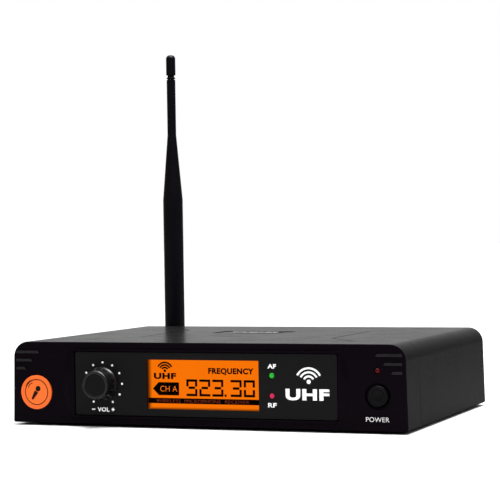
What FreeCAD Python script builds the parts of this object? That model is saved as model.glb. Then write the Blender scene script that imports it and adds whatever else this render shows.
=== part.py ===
"""Half-rack wireless receiver: case, front controls, display, boards, rear sockets and folding antenna.

The model is in millimetres with +Z up.  X = 0 is the middle of the case, and lengths along Y are
measured from the front face of the fascia towards the rear.  Each sub-part is then moved by
frame_shift, so that the middle of the whole object lies at Y = 0.
"""
import FreeCAD, Part
import math
import os
import re
import Sketcher

SIZES = {
    # case
    "width": 212.0,
    "depth": 152.0,
    "case_height": 41.6,
    "wall": 2.0,
    "side_slope": 0.021,
    "corner_radius": 8.0,
    "base_radius": 1.2,
    "edge_radius": 1.5,
    "bezel_depth": 22.0,
    "seam_gap": 0.4,
    "tongue_length": 4.0,
    "fit_gap": 0.2,
    "touch_gap": 0.1,
    "foot_height": 1.4,
    "foot_radius": 7.0,
    "foot_across": 84.0,
    "foot_front": 34.0,
    "foot_rear_inset": 34.0,
    # a half or quarter round drawn this much larger keeps its sketch solvable
    "round_slack": 1.0001,
    # lines and plaque pressed into the top
    "groove_width": 1.0,
    "groove_depth": 0.6,
    "waist_across": 53.5,
    "waist_front": 44.0,
    "waist_rear_inset": 44.0,
    "flare_front": 74.0,
    "flare_rear": 83.0,
    "plaque_across": -8.0,
    "plaque_along": 93.0,
    "plaque_length": 42.0,
    "plaque_width": 20.0,
    "plaque_depth": 0.8,
    "bar_length": 20.0,
    "bar_width": 2.6,
    "bar_pitch": 5.0,
    "bar_depth": 0.3,
    # fascia
    "lip_thickness": 0.8,
    "fascia_thickness": 3.0,
    "fascia_edge": 0.5,
    "pod_half_length": 72.6,
    "pod_margin": 3.6,
    "pod_side_radius": 34.0,
    "pod_height": 1.0,
    "pod_slope": 3.4,
    "pod_bevel": 0.9,
    "control_drop": 0.1,
    "panel_across": 0.7,
    "panel_length": 140.6,
    "panel_inset": 1.3,
    "panel_thickness": 1.5,
    "panel_sink": 0.5,
    "panel_radius": 1.2,
    "groove_gap": 0.45,
    "rib_length": 16.0,
    "rib_step": 3.9,
    "rib_height": 1.5,
    "rib_pitch": 4.2,
    "rib_top": 5.3,
    "rib_proud": 0.5,
    "rib_slant": 0.9,
    "rib_margin": 1.5,
    "post_across": 75.0,
    "post_inset": 4.6,
    "post_radius": 3.0,
    "pilot_radius": 1.1,
    "pilot_depth": 8.0,
    "badge_across": -92.1,
    "badge_drop": 25.9,
    "badge_radius": 8.7,
    "badge_thickness": 0.8,
    "badge_rim": 0.9,
    "badge_recess": 0.3,
    # display
    "screen_across": 0.4,
    "screen_length": 60.2,
    "screen_inset": 3.55,
    "window_sink": 0.1,
    "window_thickness": 1.2,
    "screen_border": 1.9,
    "glass_thickness": 1.8,
    "guide_thickness": 3.0,
    "frame_wall": 1.4,
    # boards
    "board_thickness": 1.6,
    "front_board_back": 13.0,
    "front_board_left": 84.0,
    "front_board_right": 98.0,
    "front_board_inset": 4.3,
    "front_screw_radius": 1.05,
    "front_screw_head": 2.4,
    "screw_head_height": 1.4,
    # volume control
    "knob_across": -54.1,
    "knob_radius": 7.2,
    "knob_taper": 0.6,
    "knob_flare": 8.6,
    "knob_reach": 10.0,
    "knob_gap": 0.4,
    "knob_edge": 0.7,
    "knob_nut_gap": 0.8,
    "knob_cavity_depth": 3.2,
    "knob_cap": 1.2,
    "knob_dish": 0.25,
    "shaft_radius": 3.0,
    "shaft_clearance": 0.05,
    "bush_radius": 3.6,
    "pot_size": 13.0,
    "pot_front": 5.0,
    "nut_height": 1.4,
    "nut_radius": 5.2,
    "washer_radius": 5.4,
    "washer_thickness": 0.4,
    # power button
    "button_across": 91.2,
    "button_drop": 24.8,
    "button_radius": 5.1,
    "button_gap": 0.4,
    "recess_gap": 1.4,
    "recess_depth": 1.4,
    "button_proud": 0.6,
    "button_edge": 0.5,
    "button_dish": 0.4,
    "flange_lap": 1.5,
    "flange_thickness": 1.2,
    "plunger_radius": 1.5,
    "plunger_length": 4.9,
    "switch_size": 8.5,
    "switch_front": 7.4,
    "switch_bore_depth": 4.8,
    # indicator lamps
    "led_radius": 1.4,
    "led_gap": 0.15,
    "led_flange": 1.9,
    "led_proud": 0.6,
    "led_leg_radius": 0.25,
    "led_leg_half_pitch": 1.27,
    "power_led_drop": 12.6,
    "signal_across": 37.3,
    "af_led_rise": 5.3,
    "rf_led_rise": -4.7,
    # tray and main board
    "tray_thickness": 2.6,
    "tray_flange": 1.5,
    "tray_flange_height": 8.0,
    "case_post_across": 96.0,
    "case_post_front": 40.0,
    "case_post_inset": 24.0,
    "case_post_radius": 4.0,
    "case_screw_radius": 1.4,
    "case_screw_head": 2.8,
    "case_screw_length": 12.0,
    "thread_gap": 0.05,
    "counterbore_depth": 1.6,
    "board_half_width": 90.0,
    "board_front": 36.0,
    "board_lift": 4.6,
    "board_post_across": 74.0,
    "board_post_front": 46.0,
    "board_post_inset": 20.0,
    "board_post_radius": 3.4,
    "board_screw_radius": 1.3,
    "board_screw_head": 2.8,
    # rear panel
    "rear_inset": 1.2,
    "rear_thickness": 2.0,
    "rear_axis_height": 20.8,
    "rear_screw_across": 60.0,
    "rear_screw_height": 4.7,
    "rear_screw_radius": 1.2,
    "rear_screw_head": 1.9,
    "rear_tab_length": 10.0,
    "rear_tab_thickness": 4.0,
    "rear_tab_height": 4.2,
    # balanced output socket
    "xlr_across": 36.0,
    "xlr_flange_width": 26.0,
    "xlr_flange_height": 31.0,
    "xlr_flange_thickness": 1.8,
    "xlr_barrel_radius": 11.7,
    "xlr_bore_radius": 9.7,
    "xlr_bore_depth": 15.5,
    "xlr_barrel_depth": 19.0,
    "xlr_insert_thickness": 3.0,
    "xlr_pin_radius": 1.2,
    "xlr_pin_circle": 4.25,
    "xlr_pin_length": 10.5,
    "xlr_screw_across": 9.5,
    "xlr_screw_rise": 12.0,
    "xlr_key_width": 2.0,
    "xlr_key_depth": 1.2,
    # unbalanced output socket
    "jack_across": -2.0,
    "jack_width": 16.0,
    "jack_length": 26.0,
    "jack_rise": 7.0,
    "jack_bush_radius": 4.4,
    "jack_bush_reach": 4.6,
    "jack_bore_radius": 3.25,
    "jack_bore_depth": 28.0,
    "jack_washer_radius": 7.0,
    "jack_washer_thickness": 0.6,
    "jack_nut_radius": 6.9,
    "jack_nut_height": 2.4,
    # supply inlet
    "inlet_across": 74.0,
    "inlet_width": 9.0,
    "inlet_length": 14.0,
    "inlet_height": 11.0,
    "inlet_bore_radius": 3.2,
    "inlet_bore_depth": 9.0,
    "inlet_pin_radius": 1.05,
    # squelch trimmer
    "trimmer_across": -34.0,
    "trimmer_width": 7.0,
    "trimmer_length": 6.0,
    "trimmer_height": 8.0,
    "rotor_radius": 1.8,
    "rotor_slot": 0.6,
    "rotor_slot_depth": 0.8,
    # antenna
    "antenna_across": -87.6,
    "antenna_offset": 14.0,
    "antenna_barrel_radius": 4.6,
    "antenna_barrel_reach": 5.7,
    "antenna_barrel_inner": 9.0,
    "antenna_flange_radius": 6.4,
    "antenna_flange_thickness": 1.5,
    "antenna_bore_radius": 1.6,
    "antenna_nut_height": 2.2,
    "coupling_radius": 7.0,
    "coupling_gap": 0.3,
    "coupling_clearance": 0.06,
    "coupling_wall": 1.0,
    "stub_radius": 3.5,
    "stub_flange": 4.4,
    "stub_flange_thickness": 0.8,
    "fork_radius": 5.8,
    "ear_inner": 2.3,
    "ear_radius": 5.2,
    "hinge_radius": 1.5,
    "tongue_half": 2.0,
    "tongue_radius": 5.1,
    "whip_root_rise": 6.3,
    "whip_radius": 5.9,
    "whip_thin": 2.6,
    "whip_taper_start": 118.0,
    "whip_taper_end": 157.0,
    "whip_top": 189.9,
    "whip_groove": 0.6,
    "whip_groove_pitch": 0.7,
    "tip_radius": 2.8,
    "tip_round": 2.2,
    "tip_bottom": 192.8,
    "tip_top": 204.8,
    # parts on the main board
    "can_across": -62.0,
    "can_inset": 44.0,
    "can_length": 34.0,
    "can_width": 38.0,
    "can_height": 7.0,
    "can_wall": 0.4,
    "coax_radius": 1.4,
    "coax_bend": 6.0,
    "coax_run": 4.0,
    "capacitor_across": 52.0,
    "capacitor_along": 70.0,
    "capacitor_pitch": 13.0,
    "capacitor_radius": 5.0,
    "capacitor_height": 13.0,
    "regulator_across": 70.0,
    "regulator_inset": 44.0,
    "regulator_width": 10.0,
    "regulator_depth": 4.5,
    "regulator_height": 15.0,
    "sink_width": 22.0,
    "sink_height": 22.0,
    "sink_fin": 7.0,
    "sink_plate": 2.0,
    "chip_across": -10.0,
    "chip_inset": 48.0,
    "chip_pitch": 14.0,
    "chip_length": 14.0,
    "chip_width": 9.0,
    "chip_height": 2.2,
    "crystal_across": -30.0,
    "crystal_along": 86.0,
    "crystal_length": 11.0,
    "crystal_width": 4.6,
    "crystal_height": 3.6,
    "plug_length": 22.0,
    "plug_depth": 6.0,
    "plug_height": 6.0,
    "ribbon_width": 18.0,
    "ribbon_thickness": 0.8,
}

CASE_BASE = "foot_height"
CASE_TOP = "foot_height + case_height"
CONTROL_AXIS = "foot_height + case_height / 2 - control_drop"
POD_RISE = "(case_height / 2 - pod_margin)"
POST_RISE = "(case_height / 2 - pod_margin - post_inset)"
PANEL_HEIGHT = "(case_height - 2 * (pod_margin + panel_inset))"
SCREEN_HEIGHT = "(case_height - 2 * (pod_margin + panel_inset + screen_inset))"
FRONT_BOARD_RISE = "(case_height / 2 - front_board_inset)"
BUTTON_AXIS = "(foot_height + case_height - button_drop)"
POWER_LED_AXIS = "(foot_height + case_height - power_led_drop)"
SIGNAL_AXES = (CONTROL_AXIS + " + af_led_rise", CONTROL_AXIS + " + rf_led_rise")
BUTTON_FLANGE = "(button_radius + flange_lap)"
CASE_POSTS = ("case_post_front", "depth - case_post_inset")
BOARD_POSTS = ("board_post_front", "depth - board_post_inset")
REAR_AXIS = "foot_height + rear_axis_height"
TRAY_TOP = "foot_height + tray_thickness"
BOARD_BOTTOM = "foot_height + tray_thickness + board_lift"
BOARD_TOP = "foot_height + tray_thickness + board_lift + board_thickness"
REAR_FACE = "depth - rear_inset"
REAR_INNER = "depth - rear_inset - rear_thickness"
PANEL_FACE = "panel_sink - pod_height"
PANEL_BACK = "panel_sink - pod_height + panel_thickness"
HINGE_Y = "depth + antenna_offset"
FRAME_SHIFT = "(depth + antenna_offset + whip_radius - knob_reach) / 2"

SIDES = (-1, 1)
PLANE_NORMALS = {"XY": 1, "XZ": -1, "YZ": 1}
TURNS = {
    "x": FreeCAD.Rotation(FreeCAD.Vector(0, 1, 0), 90),
    "y": FreeCAD.Rotation(FreeCAD.Vector(1, 0, 0), -90),
    "z": FreeCAD.Rotation(),
}

doc = FreeCAD.newDocument("receiver")
sheet = doc.addObject("Spreadsheet::Sheet", "Sizes")
nodes = []


# ---------------------------------------------------------------- sheet and expressions

def fill_sheet():
    """Write every driving size as a plain number with its alias."""
    for row, (alias, size) in enumerate(SIZES.items(), start=1):
        sheet.set("A%d" % row, alias)
        sheet.set("B%d" % row, str(size))
        sheet.setAlias("B%d" % row, alias)
    doc.recompute()


def bound(text):
    """Turn size names in an expression into references to the sheet."""
    return re.sub(r"[a-z_]+", lambda found: "Sizes." + found.group() if found.group() in SIZES
                  else found.group(), str(text))


def value(text):
    """Work an expression out to a number."""
    return float(sheet.evalExpression(bound(text)))


def bind(obj, path, text):
    obj.setExpression(path, bound(text))


def sized(kind, x, y, z, axis="z", **sizes):
    """Add a Part primitive whose sizes and place follow the sheet."""
    obj = doc.addObject("Part::" + kind, kind)
    for name, text in sizes.items():
        bind(obj, name, text)
    obj.Placement = FreeCAD.Placement(FreeCAD.Vector(), TURNS[axis])
    for name, text in (("x", x), ("y", y), ("z", z)):
        bind(obj, "Placement.Base." + name, text)
    return obj


# ---------------------------------------------------------------- Part solids

def block(x, y, z, length, width, height):
    """Box whose lowest corner is at x, y, z."""
    return sized("Box", x, y, z, Length=length, Width=width, Height=height)


def centred(x, y, z, length, width, height):
    """Box centred on x and y that stands on z."""
    return block("%s - (%s) / 2" % (x, length), "%s - (%s) / 2" % (y, width), z, length, width, height)


def rod(axis, x, y, z, radius, length):
    """Cylinder that starts at x, y, z and runs along +axis."""
    return sized("Cylinder", x, y, z, axis, Radius=radius, Height=length)


def hexagon(axis, x, y, z, radius, length):
    obj = sized("Prism", x, y, z, axis, Circumradius=radius, Height=length)
    obj.Polygon = 6
    return obj


def cut(base, *tools):
    """Take the tools away from the base, one after another."""
    for tool in tools:
        result = doc.addObject("Part::Cut", "Cut")
        result.Base = base
        result.Tool = tool
        base = result
    return base


def fuse(*pieces):
    obj = doc.addObject("Part::MultiFuse", "Fuse")
    obj.Shapes = list(pieces)
    return obj


def group(label, *pieces):
    """Make a node of one or more separate solids."""
    obj = doc.addObject("Part::Compound", "Group")
    obj.Links = list(pieces)
    return node(label, obj)


def node(label, obj):
    """Name a sub-part, move it into the object's frame and list it for export."""
    obj.Label = label
    bind(obj, "Placement.Base.y", "-(%s)" % FRAME_SHIFT)
    nodes.append(obj)
    return obj


# ---------------------------------------------------------------- PartDesign bodies

def body(label):
    obj = doc.addObject("PartDesign::Body", "Body")
    return node(label, obj)


def sketch(owner, plane, level="0"):
    """Add a sketch on an origin plane of the body, moved to a level along X, Y or Z."""
    obj = owner.newObject("Sketcher::SketchObject", "Sketch")
    origin_plane = next(item for item in owner.Origin.OriginFeatures if item.Role == plane + "_Plane")
    obj.AttachmentSupport = [(origin_plane, "")]
    obj.MapMode = "FlatFace"
    sign = "" if PLANE_NORMALS[plane] > 0 else "-"
    bind(obj, "AttachmentOffset.Base.z", "%s(%s)" % (sign, level))
    obj.addProperty("App::PropertyString", "Plane")
    obj.Plane = plane
    return obj


def hold_point(obj, geometry, position, x, y):
    """Hold a point of the sketch at its distances from the origin."""
    for kind, text in (("DistanceX", x), ("DistanceY", y)):
        index = obj.addConstraint(Sketcher.Constraint(kind, -1, 1, geometry, position, value(text)))
        bind(obj, "Constraints[%d]" % index, text)


def outline(obj, corners, bulges=None):
    """Close a line through the corners; an edge listed in bulges is an arc of that radius."""
    bulges = bulges or {}
    first = obj.GeometryCount
    count = len(corners)
    points = [FreeCAD.Vector(value(x), value(y), 0) for x, y in corners]
    for index, start in enumerate(points):
        end = points[(index + 1) % count]
        if index in bulges:
            radius = value(bulges[index])
            chord = end - start
            rise = radius - math.sqrt(radius ** 2 - (chord.Length / 2) ** 2)
            outward = FreeCAD.Vector(chord.y, -chord.x, 0).normalize()
            obj.addGeometry(Part.Arc(start, (start + end) / 2 + outward * rise, end))
        else:
            obj.addGeometry(Part.LineSegment(start, end))
    for index in range(count):
        following = (index + 1) % count
        obj.addConstraint(Sketcher.Constraint("Coincident", first + index, 2, first + following, 1))
    for index, (x, y) in enumerate(corners):
        hold_point(obj, first + index, 1, x, y)
    for index, radius in bulges.items():
        number = obj.addConstraint(Sketcher.Constraint("Radius", first + index, value(radius)))
        bind(obj, "Constraints[%d]" % number, radius)
    return obj


def rectangle(obj, x, y, length, height):
    """Rectangle centred on x, y."""
    left, right = "%s - (%s) / 2" % (x, length), "%s + (%s) / 2" % (x, length)
    low, high = "%s - (%s) / 2" % (y, height), "%s + (%s) / 2" % (y, height)
    return outline(obj, [(left, low), (right, low), (right, high), (left, high)])


def circle(obj, x, y, radius):
    centre = FreeCAD.Vector(value(x), value(y), 0)
    index = obj.addGeometry(Part.Circle(centre, FreeCAD.Vector(0, 0, 1), value(radius)))
    hold_point(obj, index, 3, x, y)
    number = obj.addConstraint(Sketcher.Constraint("Radius", index, value(radius)))
    bind(obj, "Constraints[%d]" % number, radius)
    return obj


def extrude(owner, kind, profile, length, direction):
    """Pad or pocket a sketch by a length along +1 or -1 of its axis."""
    feature = owner.newObject("PartDesign::" + kind, kind)
    feature.Profile = profile
    bind(feature, "Length", length)
    with_normal = PLANE_NORMALS[profile.Plane] == direction
    feature.Reversed = with_normal if kind == "Pocket" else not with_normal
    return feature


def pad(owner, profile, length, direction=1):
    return extrude(owner, "Pad", profile, length, direction)


def pocket(owner, profile, length, direction=1):
    """Cut the profile out and make sure that it took material away."""
    doc.recompute()
    before = owner.Shape.Volume
    feature = extrude(owner, "Pocket", profile, length, direction)
    doc.recompute()
    if owner.Shape.Volume >= before:
        raise RuntimeError("a pocket of %s cuts nothing" % owner.Label)
    return feature


def revolve(owner, profile, axis):
    """Turn a profile a full circle about the sketch's H_Axis or V_Axis."""
    feature = owner.newObject("PartDesign::Revolution", "Revolution")
    feature.Profile = profile
    feature.ReferenceAxis = (profile, [axis])
    feature.Angle = 360
    return feature


def soften(owner, kind, size, chosen):
    """Fillet or chamfer the edges of the body that the test chooses."""
    doc.recompute()
    tip = owner.Tip
    names = ["Edge%d" % (index + 1) for index, edge in enumerate(tip.Shape.Edges) if chosen(edge)]
    feature = owner.newObject("PartDesign::" + kind, kind)
    feature.Base = (tip, names)
    bind(feature, "Radius" if kind == "Fillet" else "Size", size)
    doc.recompute()
    return feature


def runs_along(edge, axis):
    """True for a straight edge parallel to the axis."""
    if edge.Curve.TypeId != "Part::GeomLine":
        return False
    direction = edge.tangentAt(edge.FirstParameter)
    return abs(getattr(direction, axis)) > 0.999


def lies_at(edge, **places):
    """True when every point of the edge is at the given place along an axis."""
    box = edge.BoundBox
    ends = [(getattr(box, axis.upper() + end), place) for axis, place in places.items()
            for end in ("Min", "Max")]
    return all(abs(end - place) < 0.01 for end, place in ends)


# ---------------------------------------------------------------- case

def case_outline(obj, inset, bottom):
    """Cross-section of the case moved inwards by inset: leaning sides and two round top corners."""
    radius = "(corner_radius - (%s))" % inset
    top = "(%s - (%s))" % (CASE_TOP, inset)
    tangent = "%s * (sqrt(1 + side_slope * side_slope) - side_slope)" % radius
    low = "(width / 2 - (%s) - side_slope * (%s - foot_height))" % (inset, bottom)
    high = "(width / 2 - (%s) - side_slope * (%s - foot_height))" % (inset, top)
    drop = "%s / sqrt(1 + side_slope * side_slope)" % tangent
    side = ("(%s + side_slope * %s)" % (high, drop), "%s - %s" % (top, drop))
    crown = ("(%s - %s)" % (high, tangent), top)
    corners = [("-" + low, bottom), (low, bottom), side, crown,
               ("-" + crown[0], crown[1]), ("-" + side[0], side[1])]
    return outline(obj, corners, {2: radius, 4: radius})


def round_base_edges(owner):
    """Soften the two long outer edges at the bottom of the case."""
    soften(owner, "Fillet", "base_radius",
           lambda edge: runs_along(edge, "y") and lies_at(edge, z=value(CASE_BASE))
           and abs(edge.BoundBox.Center.x) > value("width / 2") - 0.1)


def add_top_cover():
    cover = body("top_cover")
    start = "bezel_depth + seam_gap"
    pad(cover, case_outline(sketch(cover, "XZ", start), "0", CASE_BASE), "depth - (%s)" % start)
    round_base_edges(cover)
    lean = "side_slope * case_height"
    rear = outline(sketch(cover, "YZ", "-width"),
                   [("depth", CASE_BASE), ("depth + wall", CASE_BASE), ("depth + wall", CASE_TOP),
                    ("depth - %s" % lean, CASE_TOP)])
    pocket(cover, rear, "2 * width")
    soften(cover, "Fillet", "edge_radius",
           lambda edge: edge.BoundBox.YMin > value("depth - %s" % lean) - 0.2
           and edge.BoundBox.ZMin > value(CASE_BASE) - 0.1 and not lies_at(edge, z=value(CASE_BASE)))
    inside = case_outline(sketch(cover, "XZ", "0"), "wall", CASE_BASE)
    pocket(cover, inside, "depth + wall")
    add_top_lines(cover)
    posts = sketch(cover, "XY", TRAY_TOP)
    holes = sketch(cover, "XY", TRAY_TOP)
    for side in SIDES:
        for along in CASE_POSTS:
            circle(posts, "%d * case_post_across" % side, along, "case_post_radius")
            circle(holes, "%d * case_post_across" % side, along, "case_screw_radius + thread_gap")
    pad(cover, posts, "case_height - tray_thickness - wall / 2")
    pocket(cover, holes, "case_screw_length", 1)


def add_top_lines(cover):
    """Press the two bent lines and the plaque's shallow seat into the top."""
    for side in SIDES:
        start = ("flare_front", "bezel_depth - wall")
        end = ("flare_rear", "depth + wall")
        route = [start, ("waist_across", "waist_front"), ("waist_across", "depth - waist_rear_inset"), end]
        inner = [("%d * (%s - groove_width / 2)" % (side, x), y) for x, y in route]
        outer = [("%d * (%s + groove_width / 2)" % (side, x), y) for x, y in reversed(route)]
        line = outline(sketch(cover, "XY", "%s + wall" % CASE_TOP), inner + outer)
        pocket(cover, line, "wall + groove_depth", -1)
    seat = rectangle(sketch(cover, "XY", CASE_TOP), "plaque_across", "plaque_along",
                     "plaque_length", "plaque_width")
    pocket(cover, seat, "plaque_depth", -1)


def add_top_plaque():
    """Plain plaque with raised bars, sunk into the top."""
    plate = centred("plaque_across", "plaque_along", CASE_TOP + " - plaque_depth",
                    "plaque_length - 2 * fit_gap", "plaque_width - 2 * fit_gap", "plaque_depth - bar_depth")
    bars = [centred("plaque_across", "plaque_along + %d * bar_pitch" % step,
                    CASE_TOP + " - bar_depth", "bar_length + %d * bar_pitch" % (2 * step),
                    "bar_width", "bar_depth") for step in (-1, 0, 1)]
    group("top_plaque", fuse(plate, *bars))


def add_bottom_tray():
    tray = body("bottom_tray")
    half = "(width / 2 - wall - side_slope * (tray_thickness + tray_flange_height) - fit_gap)"
    front, rear = "bezel_depth + tongue_length + seam_gap", "depth - rear_inset"
    plate = sketch(tray, "XY", CASE_BASE)
    outline(plate, [("-" + half, front), (half, front), (half, rear), ("-" + half, rear)])
    pad(tray, plate, "tray_thickness")
    flanges = sketch(tray, "XY", TRAY_TOP)
    for side in SIDES:
        rectangle(flanges, "%d * (%s - tray_flange / 2)" % (side, half), "(%s + %s) / 2 - tray_thickness"
                  % (front, rear), "tray_flange", "%s - (%s) - 4 * tray_thickness" % (rear, front))
    pad(tray, flanges, "tray_flange_height")
    posts = sketch(tray, "XY", TRAY_TOP)
    pilots = sketch(tray, "XY", BOARD_BOTTOM)
    for side in SIDES:
        for along in BOARD_POSTS:
            circle(posts, "%d * board_post_across" % side, along, "board_post_radius")
            circle(pilots, "%d * board_post_across" % side, along, "board_screw_radius + thread_gap")
    pad(tray, posts, "board_lift")
    pocket(tray, pilots, "board_lift", -1)
    tabs = sketch(tray, "XY", TRAY_TOP)
    for side in SIDES:
        rectangle(tabs, "%d * rear_screw_across" % side, "%s - rear_tab_thickness / 2" % REAR_INNER,
                  "rear_tab_length", "rear_tab_thickness")
    pad(tray, tabs, "rear_tab_height")
    screws = sketch(tray, "XZ", REAR_INNER)
    for side in SIDES:
        circle(screws, "%d * rear_screw_across" % side, "foot_height + rear_screw_height",
               "rear_screw_radius + thread_gap")
    pocket(tray, screws, "rear_tab_thickness", -1)
    holes = sketch(tray, "XY", TRAY_TOP)
    sinks = sketch(tray, "XY", CASE_BASE)
    for side in SIDES:
        for along in CASE_POSTS:
            circle(holes, "%d * case_post_across" % side, along, "case_screw_radius + fit_gap")
            circle(sinks, "%d * case_post_across" % side, along, "case_screw_head + fit_gap")
    pocket(tray, holes, "tray_thickness", -1)
    pocket(tray, sinks, "counterbore_depth", 1)


def add_front_bezel():
    bezel = body("front_bezel")
    length = "bezel_depth - lip_thickness"
    pad(bezel, case_outline(sketch(bezel, "XZ", "lip_thickness"), "0", CASE_BASE), length)
    round_base_edges(bezel)
    pad(bezel, case_outline(sketch(bezel, "XZ", "bezel_depth"), "wall + fit_gap", CASE_BASE),
        "tongue_length")
    inside = case_outline(sketch(bezel, "XZ", "0"), "2 * wall", CASE_BASE + " + wall")
    pocket(bezel, inside, "bezel_depth + 2 * tongue_length")
    seat = case_outline(sketch(bezel, "XZ", "0"), "wall", CASE_BASE + " + wall / 2")
    pocket(bezel, seat, "fascia_thickness")


def add_front_fascia():
    fascia = body("front_fascia")
    pad(fascia, case_outline(sketch(fascia, "XZ", "0"), "0", CASE_BASE), "lip_thickness")
    round_base_edges(fascia)
    soften(fascia, "Fillet", "fascia_edge", lambda edge: lies_at(edge, y=0))
    pad(fascia, case_outline(sketch(fascia, "XZ", "lip_thickness"), "wall + touch_gap",
                             CASE_BASE + " + wall / 2 + touch_gap"),
        "fascia_thickness - lip_thickness")
    add_pod(fascia)
    add_ribs(fascia)
    add_fascia_openings(fascia)
    posts = sketch(fascia, "XZ", "fascia_thickness")
    pilots = sketch(fascia, "XZ", "front_board_back")
    for across in SIDES:
        for up in SIDES:
            place = ("%d * post_across" % across, "%s + %d * %s" % (CONTROL_AXIS, up, POST_RISE))
            circle(posts, *place, "post_radius")
            circle(pilots, *place, "front_screw_radius + thread_gap")
    pad(fascia, posts, "front_board_back - fascia_thickness")
    pocket(fascia, pilots, "pilot_depth", -1)


def add_pod(fascia):
    """Raised control area with bowed ends, gentle slopes and a seat for the panel."""
    low, high = (CONTROL_AXIS + " %s %s" % (sign, POD_RISE) for sign in "-+")
    corners = [("-pod_half_length", low), ("pod_half_length", low),
               ("pod_half_length", high), ("-pod_half_length", high)]
    ends = {1: "pod_side_radius", 3: "pod_side_radius"}
    pad(fascia, outline(sketch(fascia, "XZ", "0"), corners, ends), "pod_height", -1)
    doc.recompute()
    tip = fascia.Tip
    front = value("-pod_height")
    slope = fascia.newObject("PartDesign::Chamfer", "Chamfer")
    arcs = ["Edge%d" % (index + 1) for index, edge in enumerate(tip.Shape.Edges)
            if lies_at(edge, y=front) and not runs_along(edge, "x")]
    slope.Base = (tip, arcs)
    slope.ChamferType = "Two distances"
    bind(slope, "Size", "pod_bevel")
    bind(slope, "Size2", "pod_slope")
    doc.recompute()
    if abs(slope.Shape.BoundBox.XLength - tip.Shape.BoundBox.XLength) > 0.01:
        raise RuntimeError("the slopes changed the fascia's width")
    seat = rectangle(sketch(fascia, "XZ", "-pod_height"), "panel_across", CONTROL_AXIS,
                     "panel_length + 2 * groove_gap", PANEL_HEIGHT + " + 2 * groove_gap")
    pocket(fascia, seat, "panel_sink + panel_thickness")


def add_ribs(fascia):
    """Three stepped ribs at each end of the fascia."""
    edge = "(width / 2 - side_slope * case_height - rib_margin)"
    ribs = sketch(fascia, "XZ", "0")
    for side in SIDES:
        for step in range(3):
            inner = "(width / 2 - rib_length + %d * rib_step)" % step
            middle = "(%s - rib_top - %d * rib_pitch)" % (CASE_TOP, step)
            corners = [("%d * %s" % (side, inner), "%s - rib_height / 2" % middle),
                       ("%d * %s" % (side, edge), "%s - rib_height / 2" % middle),
                       ("%d * %s" % (side, edge), "%s + rib_height / 2" % middle),
                       ("%d * (%s + rib_slant)" % (side, inner), "%s + rib_height / 2" % middle)]
            outline(ribs, corners)
    pad(fascia, ribs, "rib_proud", -1)


def add_fascia_openings(fascia):
    """Cut the ways for the display, volume bush, lamps and power button."""
    openings = sketch(fascia, "XZ", "fascia_thickness")
    rectangle(openings, "screen_across", CONTROL_AXIS, "screen_length + 2 * screen_border",
              SCREEN_HEIGHT + " + 2 * screen_border")
    circle(openings, "knob_across", CONTROL_AXIS, "bush_radius + fit_gap")
    for height in SIGNAL_AXES:
        circle(openings, "signal_across", height, "led_radius + led_gap")
    circle(openings, "button_across", POWER_LED_AXIS, "led_radius + led_gap")
    circle(openings, "button_across", BUTTON_AXIS, "button_radius + button_gap")
    pocket(fascia, openings, "fascia_thickness + pod_height", -1)
    recess = circle(sketch(fascia, "XZ", "0"), "button_across", BUTTON_AXIS,
                    "button_radius + recess_gap")
    pocket(fascia, recess, "recess_depth")


def add_display_panel():
    panel = body("display_panel")
    plate = rectangle(sketch(panel, "XZ", PANEL_FACE), "panel_across", CONTROL_AXIS,
                      "panel_length", PANEL_HEIGHT)
    pad(panel, plate, "panel_thickness")
    soften(panel, "Fillet", "panel_radius", lambda edge: runs_along(edge, "y"))
    holes = sketch(panel, "XZ", PANEL_FACE)
    rectangle(holes, "screen_across", CONTROL_AXIS, "screen_length", SCREEN_HEIGHT)
    circle(holes, "knob_across", CONTROL_AXIS, "bush_radius + fit_gap")
    for height in SIGNAL_AXES:
        circle(holes, "signal_across", height, "led_radius + led_gap")
    pocket(panel, holes, "panel_thickness")


def add_rear_panel():
    panel = body("rear_panel")
    gap = "wall + fit_gap"
    pad(panel, case_outline(sketch(panel, "XZ", REAR_INNER), gap, TRAY_TOP + " + touch_gap"),
        "rear_thickness")
    holes = sketch(panel, "XZ", REAR_INNER)
    circle(holes, "xlr_across", REAR_AXIS, "xlr_barrel_radius + fit_gap")
    for side in SIDES:
        circle(holes, "xlr_across + %d * xlr_screw_across" % side,
               "%s + %d * xlr_screw_rise" % (REAR_AXIS, side), "rear_screw_radius + thread_gap")
        circle(holes, "%d * rear_screw_across" % side, "foot_height + rear_screw_height",
               "rear_screw_radius + fit_gap")
    circle(holes, "jack_across", REAR_AXIS, "jack_bush_radius + fit_gap")
    circle(holes, "trimmer_across", BOARD_TOP + " + trimmer_height / 2", "rotor_radius + 2 * fit_gap")
    circle(holes, "antenna_across", REAR_AXIS, "antenna_barrel_radius + fit_gap")
    rectangle(holes, "inlet_across", BOARD_TOP + " + inlet_height / 2", "inlet_width + 2 * fit_gap",
              "inlet_height + fit_gap")
    pocket(panel, holes, "rear_thickness")


def add_rubber_feet():
    feet = []
    for side in SIDES:
        for along in ("foot_front", "depth - foot_rear_inset"):
            feet.append(rod("z", "%d * foot_across" % side, along, "0", "foot_radius", "foot_height"))
    group("rubber_feet", *feet)


def screw(axis, direction, x, y, z, radius, length, head):
    """Pan-head screw; x, y, z is under the head and direction is where its shank points."""
    place = {"x": x, "y": y, "z": z}
    along = place[axis]
    shank_start = along if direction > 0 else "%s - (%s)" % (along, length)
    head_start = "%s - screw_head_height" % along if direction > 0 else along
    shank = rod(axis, *{**place, axis: shank_start}.values(), radius, length)
    cap = rod(axis, *{**place, axis: head_start}.values(), head, "screw_head_height")
    slot_start = "%s - screw_head_height" % along if direction > 0 else "%s + screw_head_height / 2" % along
    slot = hexagon(axis, *{**place, axis: slot_start}.values(), "(%s) / 2" % head, "screw_head_height / 2")
    return cut(fuse(shank, cap), slot)


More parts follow.
